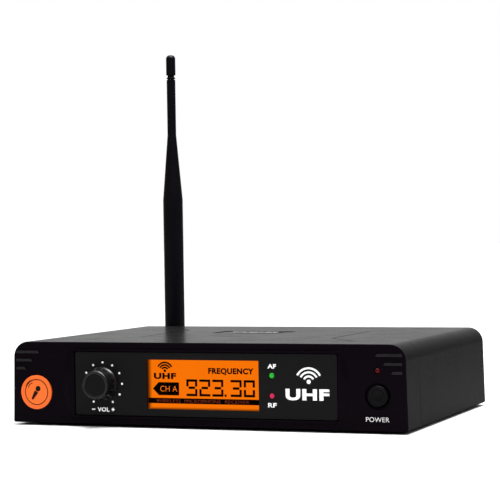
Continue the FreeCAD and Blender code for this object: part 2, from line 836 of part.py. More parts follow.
def add_fasteners():
    under_tray = "foot_height + counterbore_depth"
    case, board, rear, front, socket = [], [], [], [], []
    for side in SIDES:
        for along in CASE_POSTS:
            case.append(screw("z", 1, "%d * case_post_across" % side, along, under_tray,
                              "case_screw_radius", "case_screw_length", "case_screw_head"))
        for along in BOARD_POSTS:
            board.append(screw("z", -1, "%d * board_post_across" % side, along, BOARD_TOP,
                               "board_screw_radius", "board_thickness + board_lift - fit_gap",
                               "board_screw_head"))
        rear.append(screw("y", -1, "%d * rear_screw_across" % side, REAR_FACE,
                          "foot_height + rear_screw_height", "rear_screw_radius",
                          "rear_thickness + rear_tab_thickness", "rear_screw_head"))
        socket.append(screw("y", -1, "xlr_across + %d * xlr_screw_across" % side,
                            REAR_FACE + " + xlr_flange_thickness",
                            "%s + %d * xlr_screw_rise" % (REAR_AXIS, side), "rear_screw_radius",
                            "xlr_flange_thickness + rear_thickness", "board_screw_head"))
        for up in SIDES:
            front.append(screw("y", -1, "%d * post_across" % side, "front_board_back + board_thickness",
                               "%s + %d * %s" % (CONTROL_AXIS, up, POST_RISE), "front_screw_radius",
                               "board_thickness + pilot_depth - fit_gap", "front_screw_head"))
    group("case_screws", *case)
    group("board_screws", *board)
    group("rear_panel_screws", *rear)
    group("xlr_screws", *socket)
    group("front_board_screws", *front)


# ---------------------------------------------------------------- front controls and display

def add_front_badge():
    """Round badge on the fascia with a raised rim."""
    face = ("badge_across", "-badge_thickness", CASE_TOP + " - badge_drop")
    disc = rod("y", *face, "badge_radius", "badge_thickness")
    dish = rod("y", *face, "badge_radius - badge_rim", "badge_recess")
    group("front_badge", cut(disc, dish))


def add_display():
    middle = CONTROL_AXIS
    window_y = "%s + window_sink" % PANEL_FACE
    inner_gap = "2 * touch_gap"

    def plate(y, length, height, thickness):
        return block("screen_across - (%s) / 2" % length, y, "%s - (%s) / 2" % (middle, height),
                     length, thickness, height)

    group("lcd_window", plate(window_y, "screen_length - %s" % inner_gap,
                              SCREEN_HEIGHT + " - " + inner_gap, "window_thickness"))
    wide = "screen_length + 2 * screen_border - 2 * fit_gap"
    tall = SCREEN_HEIGHT + " + 2 * screen_border - 2 * fit_gap"
    glass_y = "%s + touch_gap" % PANEL_BACK
    group("lcd_glass", plate(glass_y, wide, tall, "glass_thickness"))
    guide_y = "fascia_thickness + touch_gap"
    group("backlight_guide", plate(guide_y, "screen_length", SCREEN_HEIGHT, "guide_thickness"))
    outer = plate("fascia_thickness", "screen_length + 2 * frame_wall + 2 * fit_gap",
                  SCREEN_HEIGHT + " + 2 * frame_wall + 2 * fit_gap", "front_board_back - fascia_thickness")
    inner = plate("fascia_thickness", "screen_length + 2 * fit_gap", SCREEN_HEIGHT + " + 2 * fit_gap",
                  "front_board_back - fascia_thickness")
    back = plate("%s + guide_thickness" % guide_y, "screen_length + 2 * frame_wall",
                 SCREEN_HEIGHT + " + 2 * frame_wall", "frame_wall")
    group("lcd_frame", fuse(cut(outer, inner), back))


def add_front_board():
    board = body("front_board")
    plate = sketch(board, "XZ", "front_board_back")
    low, high = (CONTROL_AXIS + " %s %s" % (sign, FRONT_BOARD_RISE) for sign in "-+")
    outline(plate, [("-front_board_left", low), ("front_board_right", low),
                    ("front_board_right", high), ("-front_board_left", high)])
    pad(board, plate, "board_thickness")
    soften(board, "Fillet", "pilot_radius", lambda edge: runs_along(edge, "y"))
    holes = sketch(board, "XZ", "front_board_back")
    for across in SIDES:
        for up in SIDES:
            circle(holes, "%d * post_across" % across, "%s + %d * %s" % (CONTROL_AXIS, up, POST_RISE),
                   "front_screw_radius + thread_gap")
    pocket(board, holes, "board_thickness")


def add_volume_control():
    axis_place = ("knob_across", CONTROL_AXIS)

    def turned(y, radius, length):
        return rod("y", axis_place[0], y, axis_place[1], radius, length)

    bush_front = "(%s - washer_thickness - nut_height - touch_gap)" % PANEL_FACE
    case = block("knob_across - pot_size / 2", "pot_front", "%s - pot_size / 2" % CONTROL_AXIS,
                 "pot_size", "front_board_back - pot_front", "pot_size")
    bush = turned(bush_front, "bush_radius", "pot_front - %s" % bush_front)
    bore = turned(bush_front, "shaft_radius + shaft_clearance", "pot_front + wall - %s" % bush_front)
    group("potentiometer_body", cut(fuse(case, bush), bore))
    shaft_front = "(knob_cap - knob_reach + touch_gap)"
    shaft = turned(shaft_front, "shaft_radius", "pot_front + wall - touch_gap - %s" % shaft_front)
    group("potentiometer_shaft", shaft)
    washer_y = "(%s - washer_thickness)" % PANEL_FACE
    group("potentiometer_washer", cut(turned(washer_y, "washer_radius", "washer_thickness"),
                                      turned(washer_y, "bush_radius + thread_gap", "washer_thickness")))
    nut_y = "(%s - nut_height)" % washer_y
    nut = hexagon("y", "knob_across", nut_y, CONTROL_AXIS, "nut_radius", "nut_height")
    group("potentiometer_nut", cut(nut, turned(nut_y, "bush_radius + thread_gap", "nut_height")))
    add_volume_knob()


def add_volume_knob():
    """Turned knob: flared foot, tapered grip, softened front edge, hollow back with a bored hub."""
    knob = body("volume_knob")
    back = "(knob_gap - (%s))" % PANEL_FACE
    profile = sketch(knob, "XY", "0")
    cavity = "nut_radius + knob_nut_gap"
    bore = "shaft_radius + thread_gap"
    outline(profile, [
        ("0", "knob_dish - knob_reach"),
        ("knob_radius - 2 * knob_edge", "knob_dish - knob_reach"),
        ("knob_radius - knob_edge", "-knob_reach"),
        ("knob_radius", "knob_edge - knob_reach"),
        ("knob_radius + knob_taper", "-%s - 2 * knob_cap" % back),
        ("knob_flare", "-%s - knob_edge" % back),
        ("knob_flare", "-%s" % back),
        (cavity, "-%s" % back),
        (cavity, "-%s - knob_cavity_depth" % back),
        (bore, "-%s - knob_cavity_depth" % back),
        (bore, "knob_cap - knob_reach"),
        ("0", "knob_cap - knob_reach"),
    ])
    revolve(knob, profile, "V_Axis")
    place_body(knob, "knob_across", CONTROL_AXIS)


def place_body(owner, x, z):
    """Move a body that is turned about its own Y axis to its place across and up."""
    bind(owner, "Placement.Base.x", x)
    bind(owner, "Placement.Base.z", z)


def add_power_switch():
    """Push button, the plunger that it rides on and the switch behind it."""
    button = body("power_button")
    profile = sketch(button, "XY", "0")
    back = "(fascia_thickness + button_gap)"
    outline(profile, [
        ("0", "-button_proud + button_dish"),
        ("button_radius - 2 * button_edge", "-button_proud"),
        ("button_radius - button_edge", "-button_proud"),
        ("button_radius", "-button_proud + button_edge"),
        ("button_radius", back),
        (BUTTON_FLANGE, back),
        (BUTTON_FLANGE, "%s + flange_thickness" % back),
        ("0", "%s + flange_thickness" % back),
    ])
    revolve(button, profile, "V_Axis")
    place_body(button, "button_across", BUTTON_AXIS)
    plunger_y = "(%s + flange_thickness)" % back
    group("power_switch_plunger",
          rod("y", "button_across", plunger_y, BUTTON_AXIS, "plunger_radius", "plunger_length"))
    case = block("button_across - switch_size / 2", "switch_front", "%s - switch_size / 2" % BUTTON_AXIS,
                 "switch_size", "front_board_back - switch_front", "switch_size")
    bore = rod("y", "button_across", "switch_front", BUTTON_AXIS, "plunger_radius + fit_gap",
               "switch_bore_depth")
    group("power_switch_body", cut(case, bore))


def add_lamp(label, across, height, face):
    """Domed lamp with its collar behind the fascia and two legs to the board."""
    lamp = body(label)
    tip = "(%s - led_proud)" % face
    collar = "(fascia_thickness + led_gap)"
    profile = sketch(lamp, "XY", "0")
    outline(profile, [
        ("0", tip),
        ("led_radius", "%s + led_radius" % tip),
        ("led_radius", collar),
        ("led_flange", collar),
        ("led_flange", "%s + led_radius" % collar),
        ("0", "%s + led_radius" % collar),
    ], {0: "led_radius * round_slack"})
    revolve(lamp, profile, "V_Axis")
    legs = sketch(lamp, "XZ", "%s + led_radius" % collar)
    for side in SIDES:
        circle(legs, "%d * led_leg_half_pitch" % side, "0", "led_leg_radius")
    pad(lamp, legs, "front_board_back - %s - led_radius" % collar)
    place_body(lamp, across, height)


# ---------------------------------------------------------------- boards and what they carry

def add_main_board():
    board = body("main_board")
    plate = sketch(board, "XY", BOARD_BOTTOM)
    rear = "(%s - fit_gap)" % REAR_INNER
    outline(plate, [("-board_half_width", "board_front"), ("board_half_width", "board_front"),
                    ("board_half_width", rear), ("-board_half_width", rear)])
    pad(board, plate, "board_thickness")
    soften(board, "Fillet", "base_radius", lambda edge: runs_along(edge, "z"))
    holes = sketch(board, "XY", BOARD_BOTTOM)
    for side in SIDES:
        for along in BOARD_POSTS:
            circle(holes, "%d * board_post_across" % side, along, "board_screw_radius + thread_gap")
    pocket(board, holes, "board_thickness")


def add_board_parts():
    can = centred("can_across", "depth - can_inset", BOARD_TOP, "can_length", "can_width", "can_height")
    hollow = centred("can_across", "depth - can_inset", BOARD_TOP, "can_length - 2 * can_wall",
                     "can_width - 2 * can_wall", "can_height - can_wall")
    group("rf_shield_can", cut(can, hollow))
    capacitors = [rod("z", "capacitor_across", "capacitor_along + %d * capacitor_pitch" % step, BOARD_TOP,
                      "capacitor_radius", "capacitor_height") for step in (-1, 0, 1)]
    group("filter_capacitors", *capacitors)
    regulator = centred("regulator_across", "depth - regulator_inset", BOARD_TOP, "regulator_width",
                        "regulator_depth", "regulator_height")
    group("voltage_regulator", regulator)
    add_heat_sink()
    chips = [centred("chip_across", "depth - chip_inset - %d * chip_pitch" % step, BOARD_TOP, "chip_length",
                     "chip_width", "chip_height") for step in (0, 1, 2)]
    group("audio_chips", *chips)
    group("crystal_oscillator", centred("crystal_across", "crystal_along", BOARD_TOP, "crystal_length",
                                        "crystal_width", "crystal_height"))


def add_heat_sink():
    back = "(depth - regulator_inset + regulator_depth / 2)"
    plate = block("regulator_across - sink_width / 2", back, BOARD_TOP, "sink_width", "sink_plate",
                  "sink_height")
    fins = [block("regulator_across + %d * (sink_width - sink_plate) / 4 - sink_plate / 2" % step, back,
                  BOARD_TOP, "sink_plate", "sink_fin", "sink_height") for step in (-2, -1, 0, 1, 2)]
    group("regulator_heatsink", fuse(plate, *fins))


def add_ribbon():
    """Flat cable from the front board down to the main board, with a socket at each end."""
    board_back = "(front_board_back + board_thickness)"
    front_plug = block("-plug_length / 2", board_back, "%s - plug_height / 2" % CONTROL_AXIS,
                       "plug_length", "plug_depth", "plug_height")
    rear_plug = block("-plug_length / 2", "board_front + wall", BOARD_TOP, "plug_length", "plug_depth",
                      "plug_height")
    group("board_connectors", front_plug, rear_plug)
    start_y = "(%s + plug_depth)" % board_back
    end_y = "(board_front + wall + plug_depth / 2)"
    cable = block("-ribbon_width / 2", start_y, CONTROL_AXIS, "ribbon_width",
                  "%s - %s + ribbon_thickness" % (end_y, start_y), "ribbon_thickness")
    drop = block("-ribbon_width / 2", end_y, "%s + plug_height" % BOARD_TOP, "ribbon_width",
                 "ribbon_thickness", "%s + ribbon_thickness - (%s + plug_height)" % (CONTROL_AXIS, BOARD_TOP))
    group("ribbon_cable", fuse(cable, drop))


def add_antenna_coax():
    """Thin coaxial lead from the antenna socket, bent down to the board."""
    start = "(%s - antenna_barrel_inner)" % REAR_INNER
    level_run = rod("y", "antenna_across", "%s - coax_run" % start, REAR_AXIS, "coax_radius", "coax_run")
    bend = sized("Torus", "antenna_across", "%s - coax_run" % start, "%s - coax_bend" % REAR_AXIS, "x",
                 Radius1="coax_bend", Radius2="coax_radius")
    bend.Angle3 = 90
    bend.Placement.Rotation = FreeCAD.Rotation(FreeCAD.Vector(0, 0, 1), FreeCAD.Vector(0, -1, 0),
                                               FreeCAD.Vector(1, 0, 0), "ZXY")
    drop = rod("z", "antenna_across", "%s - coax_run - coax_bend" % start, BOARD_TOP, "coax_radius",
               "%s - coax_bend - (%s)" % (REAR_AXIS, BOARD_TOP))
    group("antenna_coax", fuse(level_run, bend, drop))


# ---------------------------------------------------------------- rear sockets

def add_balanced_socket():
    def turned(y, radius, length):
        return rod("y", "xlr_across", y, REAR_AXIS, radius, length)

    outer_face = "(%s + xlr_flange_thickness)" % REAR_FACE
    flange = block("xlr_across - xlr_flange_width / 2", REAR_FACE,
                   "%s - xlr_flange_height / 2" % REAR_AXIS, "xlr_flange_width",
                   "xlr_flange_thickness", "xlr_flange_height")
    barrel = turned("%s - xlr_barrel_depth" % REAR_FACE, "xlr_barrel_radius", "xlr_barrel_depth")
    bore = turned("%s - xlr_bore_depth" % outer_face, "xlr_bore_radius", "xlr_bore_depth")
    key = block("xlr_across - xlr_key_width / 2", "%s - xlr_bore_depth" % outer_face,
                "%s + xlr_bore_radius - xlr_key_depth" % REAR_AXIS, "xlr_key_width", "xlr_bore_depth",
                "2 * xlr_key_depth")
    holes = [rod("y", "xlr_across + %d * xlr_screw_across" % side, REAR_FACE,
                 "%s + %d * xlr_screw_rise" % (REAR_AXIS, side), "rear_screw_radius + thread_gap",
                 "xlr_flange_thickness") for side in SIDES]
    group("xlr_shell", cut(fuse(flange, barrel), bore, key, *holes))
    floor_y = "(%s - xlr_bore_depth)" % outer_face
    insert = turned(floor_y, "xlr_bore_radius - touch_gap", "xlr_insert_thickness")
    pins, ways = [], []
    for turn in (90, 210, 330):
        across = math.cos(math.radians(turn))
        rise = math.sin(math.radians(turn))
        place = ("xlr_across + %.6f * xlr_pin_circle" % across, "%s + wall / 2" % floor_y,
                 "%s - %.6f * xlr_pin_circle" % (REAR_AXIS, rise))
        pins.append(rod("y", *place, "xlr_pin_radius", "xlr_pin_length"))
        ways.append(rod("y", *place, "xlr_pin_radius + thread_gap", "xlr_insert_thickness"))
    group("xlr_insert", cut(insert, *ways))
    group("xlr_pins", *pins)


def add_jack_socket():
    bottom = BOARD_TOP
    front = "(%s - jack_length - fit_gap)" % REAR_INNER
    case = block("jack_across - jack_width / 2", front, bottom, "jack_width", "jack_length",
                 "%s + jack_rise - (%s)" % (REAR_AXIS, bottom))

    def turned(y, radius, length):
        return rod("y", "jack_across", y, REAR_AXIS, radius, length)

    end = "(%s + jack_bush_reach)" % REAR_FACE
    bush = turned("%s - fit_gap" % REAR_INNER, "jack_bush_radius",
                  "rear_thickness + jack_bush_reach + fit_gap")
    bore = turned("%s - jack_bore_depth" % end, "jack_bore_radius", "jack_bore_depth")
    group("jack_socket_body", cut(fuse(case, bush), bore))
    washer = cut(turned(REAR_FACE, "jack_washer_radius", "jack_washer_thickness"),
                 turned(REAR_FACE, "jack_bush_radius + thread_gap", "jack_washer_thickness"))
    group("jack_washer", washer)
    nut_y = "(%s + jack_washer_thickness)" % REAR_FACE
    nut = hexagon("y", "jack_across", nut_y, REAR_AXIS, "jack_nut_radius", "jack_nut_height")
    group("jack_nut", cut(nut, turned(nut_y, "jack_bush_radius + thread_gap", "jack_nut_height")))


def add_supply_inlet():
    axis_z = "(%s + inlet_height / 2)" % BOARD_TOP
    end = "(%s)" % REAR_FACE
    case = block("inlet_across - inlet_width / 2", "%s - inlet_length" % end, BOARD_TOP, "inlet_width",
                 "inlet_length", "inlet_height")
    bore = rod("y", "inlet_across", "%s - inlet_bore_depth" % end, axis_z, "inlet_bore_radius",
               "inlet_bore_depth")
    group("dc_inlet", cut(case, bore))
    group("dc_pin", rod("y", "inlet_across", "%s - inlet_bore_depth" % end, axis_z, "inlet_pin_radius",
                        "inlet_bore_depth - fit_gap"))


def add_squelch_trimmer():
    axis_z = "(%s + trimmer_height / 2)" % BOARD_TOP
    front = "(%s - fit_gap - trimmer_length)" % REAR_INNER
    case = block("trimmer_across - trimmer_width / 2", front, BOARD_TOP, "trimmer_width",
                 "trimmer_length", "trimmer_height")
    bore = rod("y", "trimmer_across", "%s + trimmer_length / 2" % front, axis_z,
               "rotor_radius + shaft_clearance", "trimmer_length")
    group("squelch_trimmer_body", cut(case, bore))
    start = "(%s + trimmer_length / 2 + touch_gap)" % front
    end = "(%s - touch_gap)" % REAR_FACE
    stem = rod("y", "trimmer_across", start, axis_z, "rotor_radius", "%s - %s" % (end, start))
    slot = block("trimmer_across - rotor_slot / 2", "%s - rotor_slot_depth" % end,
                 "%s - rotor_radius" % axis_z, "rotor_slot", "rotor_slot_depth", "2 * rotor_radius")
    group("squelch_rotor", cut(stem, slot))


# ---------------------------------------------------------------- antenna

def add_antenna_mount():
    def turned(y, radius, length):
        return rod("y", "antenna_across", y, REAR_AXIS, radius, length)

    inner = "(%s - antenna_barrel_inner)" % REAR_INNER
    end = "(%s + antenna_barrel_reach)" % REAR_FACE
    barrel = turned(inner, "antenna_barrel_radius", "%s - %s" % (end, inner))
    flange = turned("%s - antenna_flange_thickness" % REAR_INNER, "antenna_flange_radius",
                    "antenna_flange_thickness")
    contact = turned("%s - antenna_barrel_reach" % end, "antenna_bore_radius", "antenna_barrel_reach")
    group("antenna_jack", cut(fuse(barrel, flange), contact))
    nut = hexagon("y", "antenna_across", REAR_FACE, REAR_AXIS, "antenna_flange_radius",
                  "antenna_nut_height")
    group("antenna_jack_nut", cut(nut, turned(REAR_FACE, "antenna_barrel_radius + thread_gap",
                                              "antenna_nut_height")))
    coupling_y = "(%s + antenna_nut_height + coupling_gap)" % REAR_FACE
    stub_y = "(%s + coupling_gap)" % end
    wall_y = "(%s + stub_flange_thickness + touch_gap)" % stub_y
    coupling_end = "(%s + coupling_wall)" % wall_y
    ring = turned(coupling_y, "coupling_radius", "%s - %s" % (coupling_end, coupling_y))
    room = turned(coupling_y, "antenna_barrel_radius + coupling_clearance", "%s - %s" % (wall_y, coupling_y))
    way = turned(coupling_y, "stub_radius + touch_gap", "%s - %s" % (coupling_end, coupling_y))
    group("antenna_coupling_nut", cut(ring, room, way))
    add_antenna_elbow(turned, stub_y, coupling_end)


def add_antenna_elbow(turned, stub_y, coupling_end):
    """Swivel stub with a fork whose ears carry the hinge pin."""
    base_y = "(%s + touch_gap)" % coupling_end
    stub = turned(stub_y, "stub_radius", "%s - %s" % (base_y, stub_y))
    collar = turned(stub_y, "stub_flange", "stub_flange_thickness")
    head = turned(base_y, "fork_radius", "%s + ear_radius - %s" % (HINGE_Y, base_y))
    floor_y = "(%s - tongue_radius - coupling_gap)" % HINGE_Y
    slot = block("antenna_across - ear_inner", floor_y, "%s - 2 * fork_radius" % REAR_AXIS,
                 "2 * ear_inner", "4 * ear_radius", "4 * fork_radius")
    far = "2 * fork_radius"
    rounding = rod("x", "antenna_across - (%s)" % far, HINGE_Y, REAR_AXIS, "ear_radius", "2 * (%s)" % far)
    behind = block("antenna_across - (%s)" % far, base_y, "%s - (%s)" % (REAR_AXIS, far), "2 * (%s)" % far,
                   "%s - %s" % (HINGE_Y, base_y), "2 * (%s)" % far)
    shaped = doc.addObject("Part::MultiCommon", "Common")
    shaped.Shapes = [head, fuse(behind, rounding)]
    pin_way = rod("x", "antenna_across - (%s)" % far, HINGE_Y, REAR_AXIS, "hinge_radius + thread_gap",
                  "2 * (%s)" % far)
    group("antenna_elbow", cut(fuse(stub, collar, cut(shaped, slot)), pin_way))
    group("antenna_hinge_pin", rod("x", "antenna_across - fork_radius + touch_gap", HINGE_Y, REAR_AXIS,
                                   "hinge_radius", "2 * fork_radius - 2 * touch_gap"))


def add_whip():
    """Tapering rubber whip with two rings cut below its tip, on a flat hinge tongue."""
    whip = body("antenna_whip")
    profile = sketch(whip, "XZ", "0")
    axis_z = REAR_AXIS
    root = "whip_root_rise"

    def up(height):
        return "%s - (%s)" % (height, axis_z)

    groove = "whip_thin - whip_groove"
    outline(profile, [
        ("0", root),
        ("whip_radius - whip_groove", root),
        ("whip_radius", "%s + whip_groove" % root),
        ("whip_radius", up("whip_taper_start")),
        ("whip_thin", up("whip_taper_end")),
        ("whip_thin", up("whip_top")),
        (groove, up("whip_top")),
        (groove, up("whip_top + whip_groove_pitch")),
        ("whip_thin", up("whip_top + whip_groove_pitch")),
        ("whip_thin", up("whip_top + 2 * whip_groove_pitch")),
        (groove, up("whip_top + 2 * whip_groove_pitch")),
        (groove, up("tip_bottom")),
        ("0", up("tip_bottom")),
    ])
    revolve(whip, profile, "V_Axis")
    tongue = sketch(whip, "YZ", "-tongue_half")
    outline(tongue, [("tongue_radius", "0"), ("tongue_radius", "%s + whip_groove" % root),
                     ("-tongue_radius", "%s + whip_groove" % root), ("-tongue_radius", "0")],
            {3: "tongue_radius * round_slack"})
    pad(whip, tongue, "2 * tongue_half")
    eye = circle(sketch(whip, "YZ", "-tongue_half"), "0", "0", "hinge_radius + shaft_clearance")
    pocket(whip, eye, "2 * tongue_half")
    place_body(whip, "antenna_across", axis_z)
    bind(whip, "Placement.Base.y", "%s - (%s)" % (HINGE_Y, FRAME_SHIFT))
    tip = body("antenna_tip_cap")
    tip_profile = sketch(tip, "XZ", "0")
    outline(tip_profile, [("0", "tip_bottom"), ("tip_radius", "tip_bottom"),
                          ("tip_radius", "tip_top - tip_round"),
                          ("tip_radius - tip_round", "tip_top"), ("0", "tip_top")],
            {2: "tip_round"})
    revolve(tip, tip_profile, "V_Axis")
    bind(tip, "Placement.Base.x", "antenna_across")
    bind(tip, "Placement.Base.y", "%s - (%s)" % (HINGE_Y, FRAME_SHIFT))


# ---------------------------------------------------------------- build, check and export

def build():
    fill_sheet()
    add_top_cover()
    add_top_plaque()
    add_bottom_tray()
    add_front_bezel()
    add_front_fascia()
    add_display_panel()
    add_front_badge()
    add_rear_panel()
    add_rubber_feet()
    add_fasteners()
    add_display()
    add_front_board()
    add_volume_control()
    add_power_switch()
    add_lamp("power_led", "button_across", POWER_LED_AXIS, "0")
    for label, height in zip(("af_led", "rf_led"), SIGNAL_AXES):
        add_lamp(label, "signal_across", height, PANEL_FACE)
    add_main_board()
    add_board_parts()
    add_ribbon()
    add_antenna_coax()
    add_balanced_socket()
    add_jack_socket()
    add_supply_inlet()
    add_squelch_trimmer()
    add_antenna_mount()
    add_whip()
    doc.recompute()


def check():
    """Stop if any object failed or any sub-part's shape is not whole."""
    for obj in doc.Objects:
        if {"Invalid", "Error"} & set(obj.State):
            raise RuntimeError("%s (%s) failed: %s" % (obj.Label, obj.TypeId, obj.State))
    for obj in nodes:
        if obj.Shape.isNull() or not obj.Shape.isValid() or not obj.Shape.Solids:
            raise RuntimeError("%s has no valid shape" % obj.Label)


def export():
    os.makedirs("parts", exist_ok=True)
    for obj in nodes:
        obj.Shape.exportStep("parts/%s.step" % obj.Label)
        box = obj.Shape.BoundBox
        print("%-22s %8.0f mm3  %d solids  x %.1f..%.1f y %.1f..%.1f z %.1f..%.1f" % (
            obj.Label, obj.Shape.Volume, len(obj.Shape.Solids), box.XMin, box.XMax, box.YMin, box.YMax,
            box.ZMin, box.ZMax))


build()
check()
export()
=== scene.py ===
"""Finishes, print, display picture and turned controls for a wireless microphone receiver.

Laid out as an add-on and run as a script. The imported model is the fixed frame, and every
new piece takes its place from the boxes of that model's nodes. Lengths are in metres.
"""

import math

import bmesh
import bpy
from bpy.props import FloatProperty, FloatVectorProperty, IntProperty, PointerProperty, StringProperty
from mathutils import Matrix, Vector


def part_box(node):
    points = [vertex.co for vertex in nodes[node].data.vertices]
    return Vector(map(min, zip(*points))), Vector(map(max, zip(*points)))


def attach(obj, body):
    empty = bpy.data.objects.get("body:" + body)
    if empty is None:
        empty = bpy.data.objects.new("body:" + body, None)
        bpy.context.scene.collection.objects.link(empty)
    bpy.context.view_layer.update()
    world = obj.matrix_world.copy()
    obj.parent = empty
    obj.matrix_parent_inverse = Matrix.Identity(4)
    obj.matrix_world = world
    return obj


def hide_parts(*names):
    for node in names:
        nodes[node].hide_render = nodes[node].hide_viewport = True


bl_info = {
    "name": "Wireless receiver finish",
    "version": (1, 0, 0),
    "blender": (4, 5, 0),
    "location": "3D View > Sidebar > Receiver",
    "description": "Dresses the packed receiver with its print, display, controls and finishes",
    "category": "Object",
}

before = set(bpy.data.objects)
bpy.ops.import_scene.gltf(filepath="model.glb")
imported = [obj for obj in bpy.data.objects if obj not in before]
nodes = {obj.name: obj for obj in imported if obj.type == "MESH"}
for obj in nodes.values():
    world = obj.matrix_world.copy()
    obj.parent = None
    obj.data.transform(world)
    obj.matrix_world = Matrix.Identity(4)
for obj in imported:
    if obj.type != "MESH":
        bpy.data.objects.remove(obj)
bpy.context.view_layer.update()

MM = 0.001
QUARTER_TURN = math.radians(90)
FULL_TURN = math.radians(360)
SHARP = math.radians(35)
TURNED_SIDES = 72
FACING_FRONT = Matrix.Rotation(QUARTER_TURN, 4, "X")
FACING_REAR = Matrix.Rotation(2 * QUARTER_TURN, 4, "Z") @ FACING_FRONT
FACING_UP = Matrix.Identity(4)

# The bars of a seven-bar figure: where each bar's middle lies, in half widths and quarter
# heights from the figure's middle, and whether it stands upright.
FIGURE_BARS = {
    "top": (0, 2, False), "upper_right": (1, 1, True), "lower_right": (1, -1, True),
    "bottom": (0, -2, False), "lower_left": (-1, -1, True), "upper_left": (-1, 1, True),
    "middle": (0, 0, False),
}
FIGURES = {
    "0": ("top", "upper_right", "lower_right", "bottom", "lower_left", "upper_left"),
    "1": ("upper_right", "lower_right"),
    "2": ("top", "upper_right", "middle", "lower_left", "bottom"),
    "3": ("top", "upper_right", "middle", "lower_right", "bottom"),
    "4": ("upper_left", "middle", "upper_right", "lower_right"),
    "5": ("top", "upper_left", "middle", "lower_right", "bottom"),
    "6": ("top", "upper_left", "middle", "lower_left", "lower_right", "bottom"),
    "7": ("top", "upper_right", "lower_right"),
    "8": tuple(FIGURE_BARS),
    "9": ("top", "upper_left", "upper_right", "middle", "lower_right", "bottom"),
}


def length(name, description, millimetres):
    """A size that is given in millimetres and kept in metres."""
    return FloatProperty(name=name, description=description, default=millimetres * MM, min=0.0,
                         unit="LENGTH", precision=5)


def colour(name, description, default):
    """A linear colour."""
    return FloatVectorProperty(name=name, description=description, default=default,
                               size=3, min=0.0, max=1.0, subtype="COLOR")


class ReceiverPrint(bpy.types.PropertyGroup):
    """Sizes of the ink on the fascia, the cover and the rear panel."""

    ink: length("Ink thickness", "How far the ink stands proud of its panel", 0.03)
    ring_radius: length("Dot ring", "Radius of the ring of dots round the volume knob", 10.7)
    dot_radius: length("Dot radius", "Radius of one dot of the volume scale", 0.54)
    dot_count: IntProperty(name="Dots", description="Dots on the volume scale", default=11, min=2)
    dot_turn: FloatProperty(name="Dot spacing", description="Angle between two dots",
                            default=math.radians(30), subtype="ANGLE", unit="ROTATION")
    volume_drop: length("Volume label drop", "From the knob's axis down to its label", 13.1)
    volume_height: length("Volume label height", "Height of the letters", 2.3)
    volume_width: length("Volume label width", "Width of the word", 6.7)
    sign_gap: length("Sign gap", "From the word to the middle of a sign beside it", 2.1)
    sign_width: length("Sign width", "Width of the minus and plus signs", 1.7)
    sign_line: length("Sign line", "Width of the signs' lines", 0.55)
    power_drop: length("Power label drop", "From the button's axis down to its label", 11.2)
    power_height: length("Power label height", "Height of the letters", 2.25)
    power_width: length("Power label width", "Width of the word", 11.6)
    lamp_height: length("Lamp label height", "Height of the letters by the lamps", 2.2)
    lamp_step: length("Lamp label step", "From a lamp to its label", 4.5)
    mark_across: length("Mark offset", "From the lamps to the radio mark", 19.2)
    mark_radius: length("Mark radius", "Radius of the outermost wave of the radio mark", 6.6)
    mark_word_width: length("Mark word width", "Width of the word under the mark", 22.5)
    mark_word_height: length("Mark word height", "Height of the word under the mark", 5.6)
    rear_height: length("Rear label height", "Height of the letters on the rear panel", 2.1)
    trimmer_ring: length("Trimmer ring", "Radius of the ring of dots round the squelch rotor", 4.4)
    trimmer_dot: length("Trimmer dot", "Radius of one dot of that ring", 0.3)


class ReceiverScreen(bpy.types.PropertyGroup):
    """Sizes of the picture on the liquid crystal display."""

    reading: StringProperty(name="Reading", description="Frequency shown in megahertz",
                            default="923.30")
    figure_width: length("Figure width", "Width of one figure between its bars' middles", 4.7)
    figure_height: length("Figure height", "Height between its bars' middles", 7.2)
    figure_pitch: length("Figure pitch", "From one figure to the next", 7.0)
    point_pitch: length("Point pitch", "Room that the decimal point takes", 2.75)
    point_size: length("Point size", "Width and height of the decimal point", 1.1)
    bar_width: length("Bar width", "Width of one bar of a figure", 1.2)
    reading_left: length("Reading inset", "From the window's left edge to the figures", 20.9)
    reading_rise: length("Reading rise", "From the window's foot to the figures' middle", 10.75)
    title_height: length("Title height", "Height of the title's letters", 3.5)
    title_width: length("Title width", "Width of the title", 24.2)
    tag_left: length("Tag left", "From the window's left edge to the tag's point", 2.6)
    tag_right: length("Tag right", "From the window's left edge to the tag's end", 16.9)
    tag_point: length("Tag point", "Length of the tag's pointed end", 3.2)
    tag_half: length("Tag half height", "From the tag's middle to its edge", 3.25)
    tag_drop: length("Tag drop", "From the figures' middle down to the tag's", 0.7)
    icon_left: length("Icon inset", "From the window's left edge to the radio mark's middle", 9.3)
    band_rise: length("Band rise", "From the window's foot to the dark band", 2.7)
    band_height: length("Band height", "Height of the dark band", 2.7)
    band_width: length("Band width", "Width of the dark band", 59.9)
    picture_depth: length("Picture depth", "Thickness of the dark picture parts", 0.03)


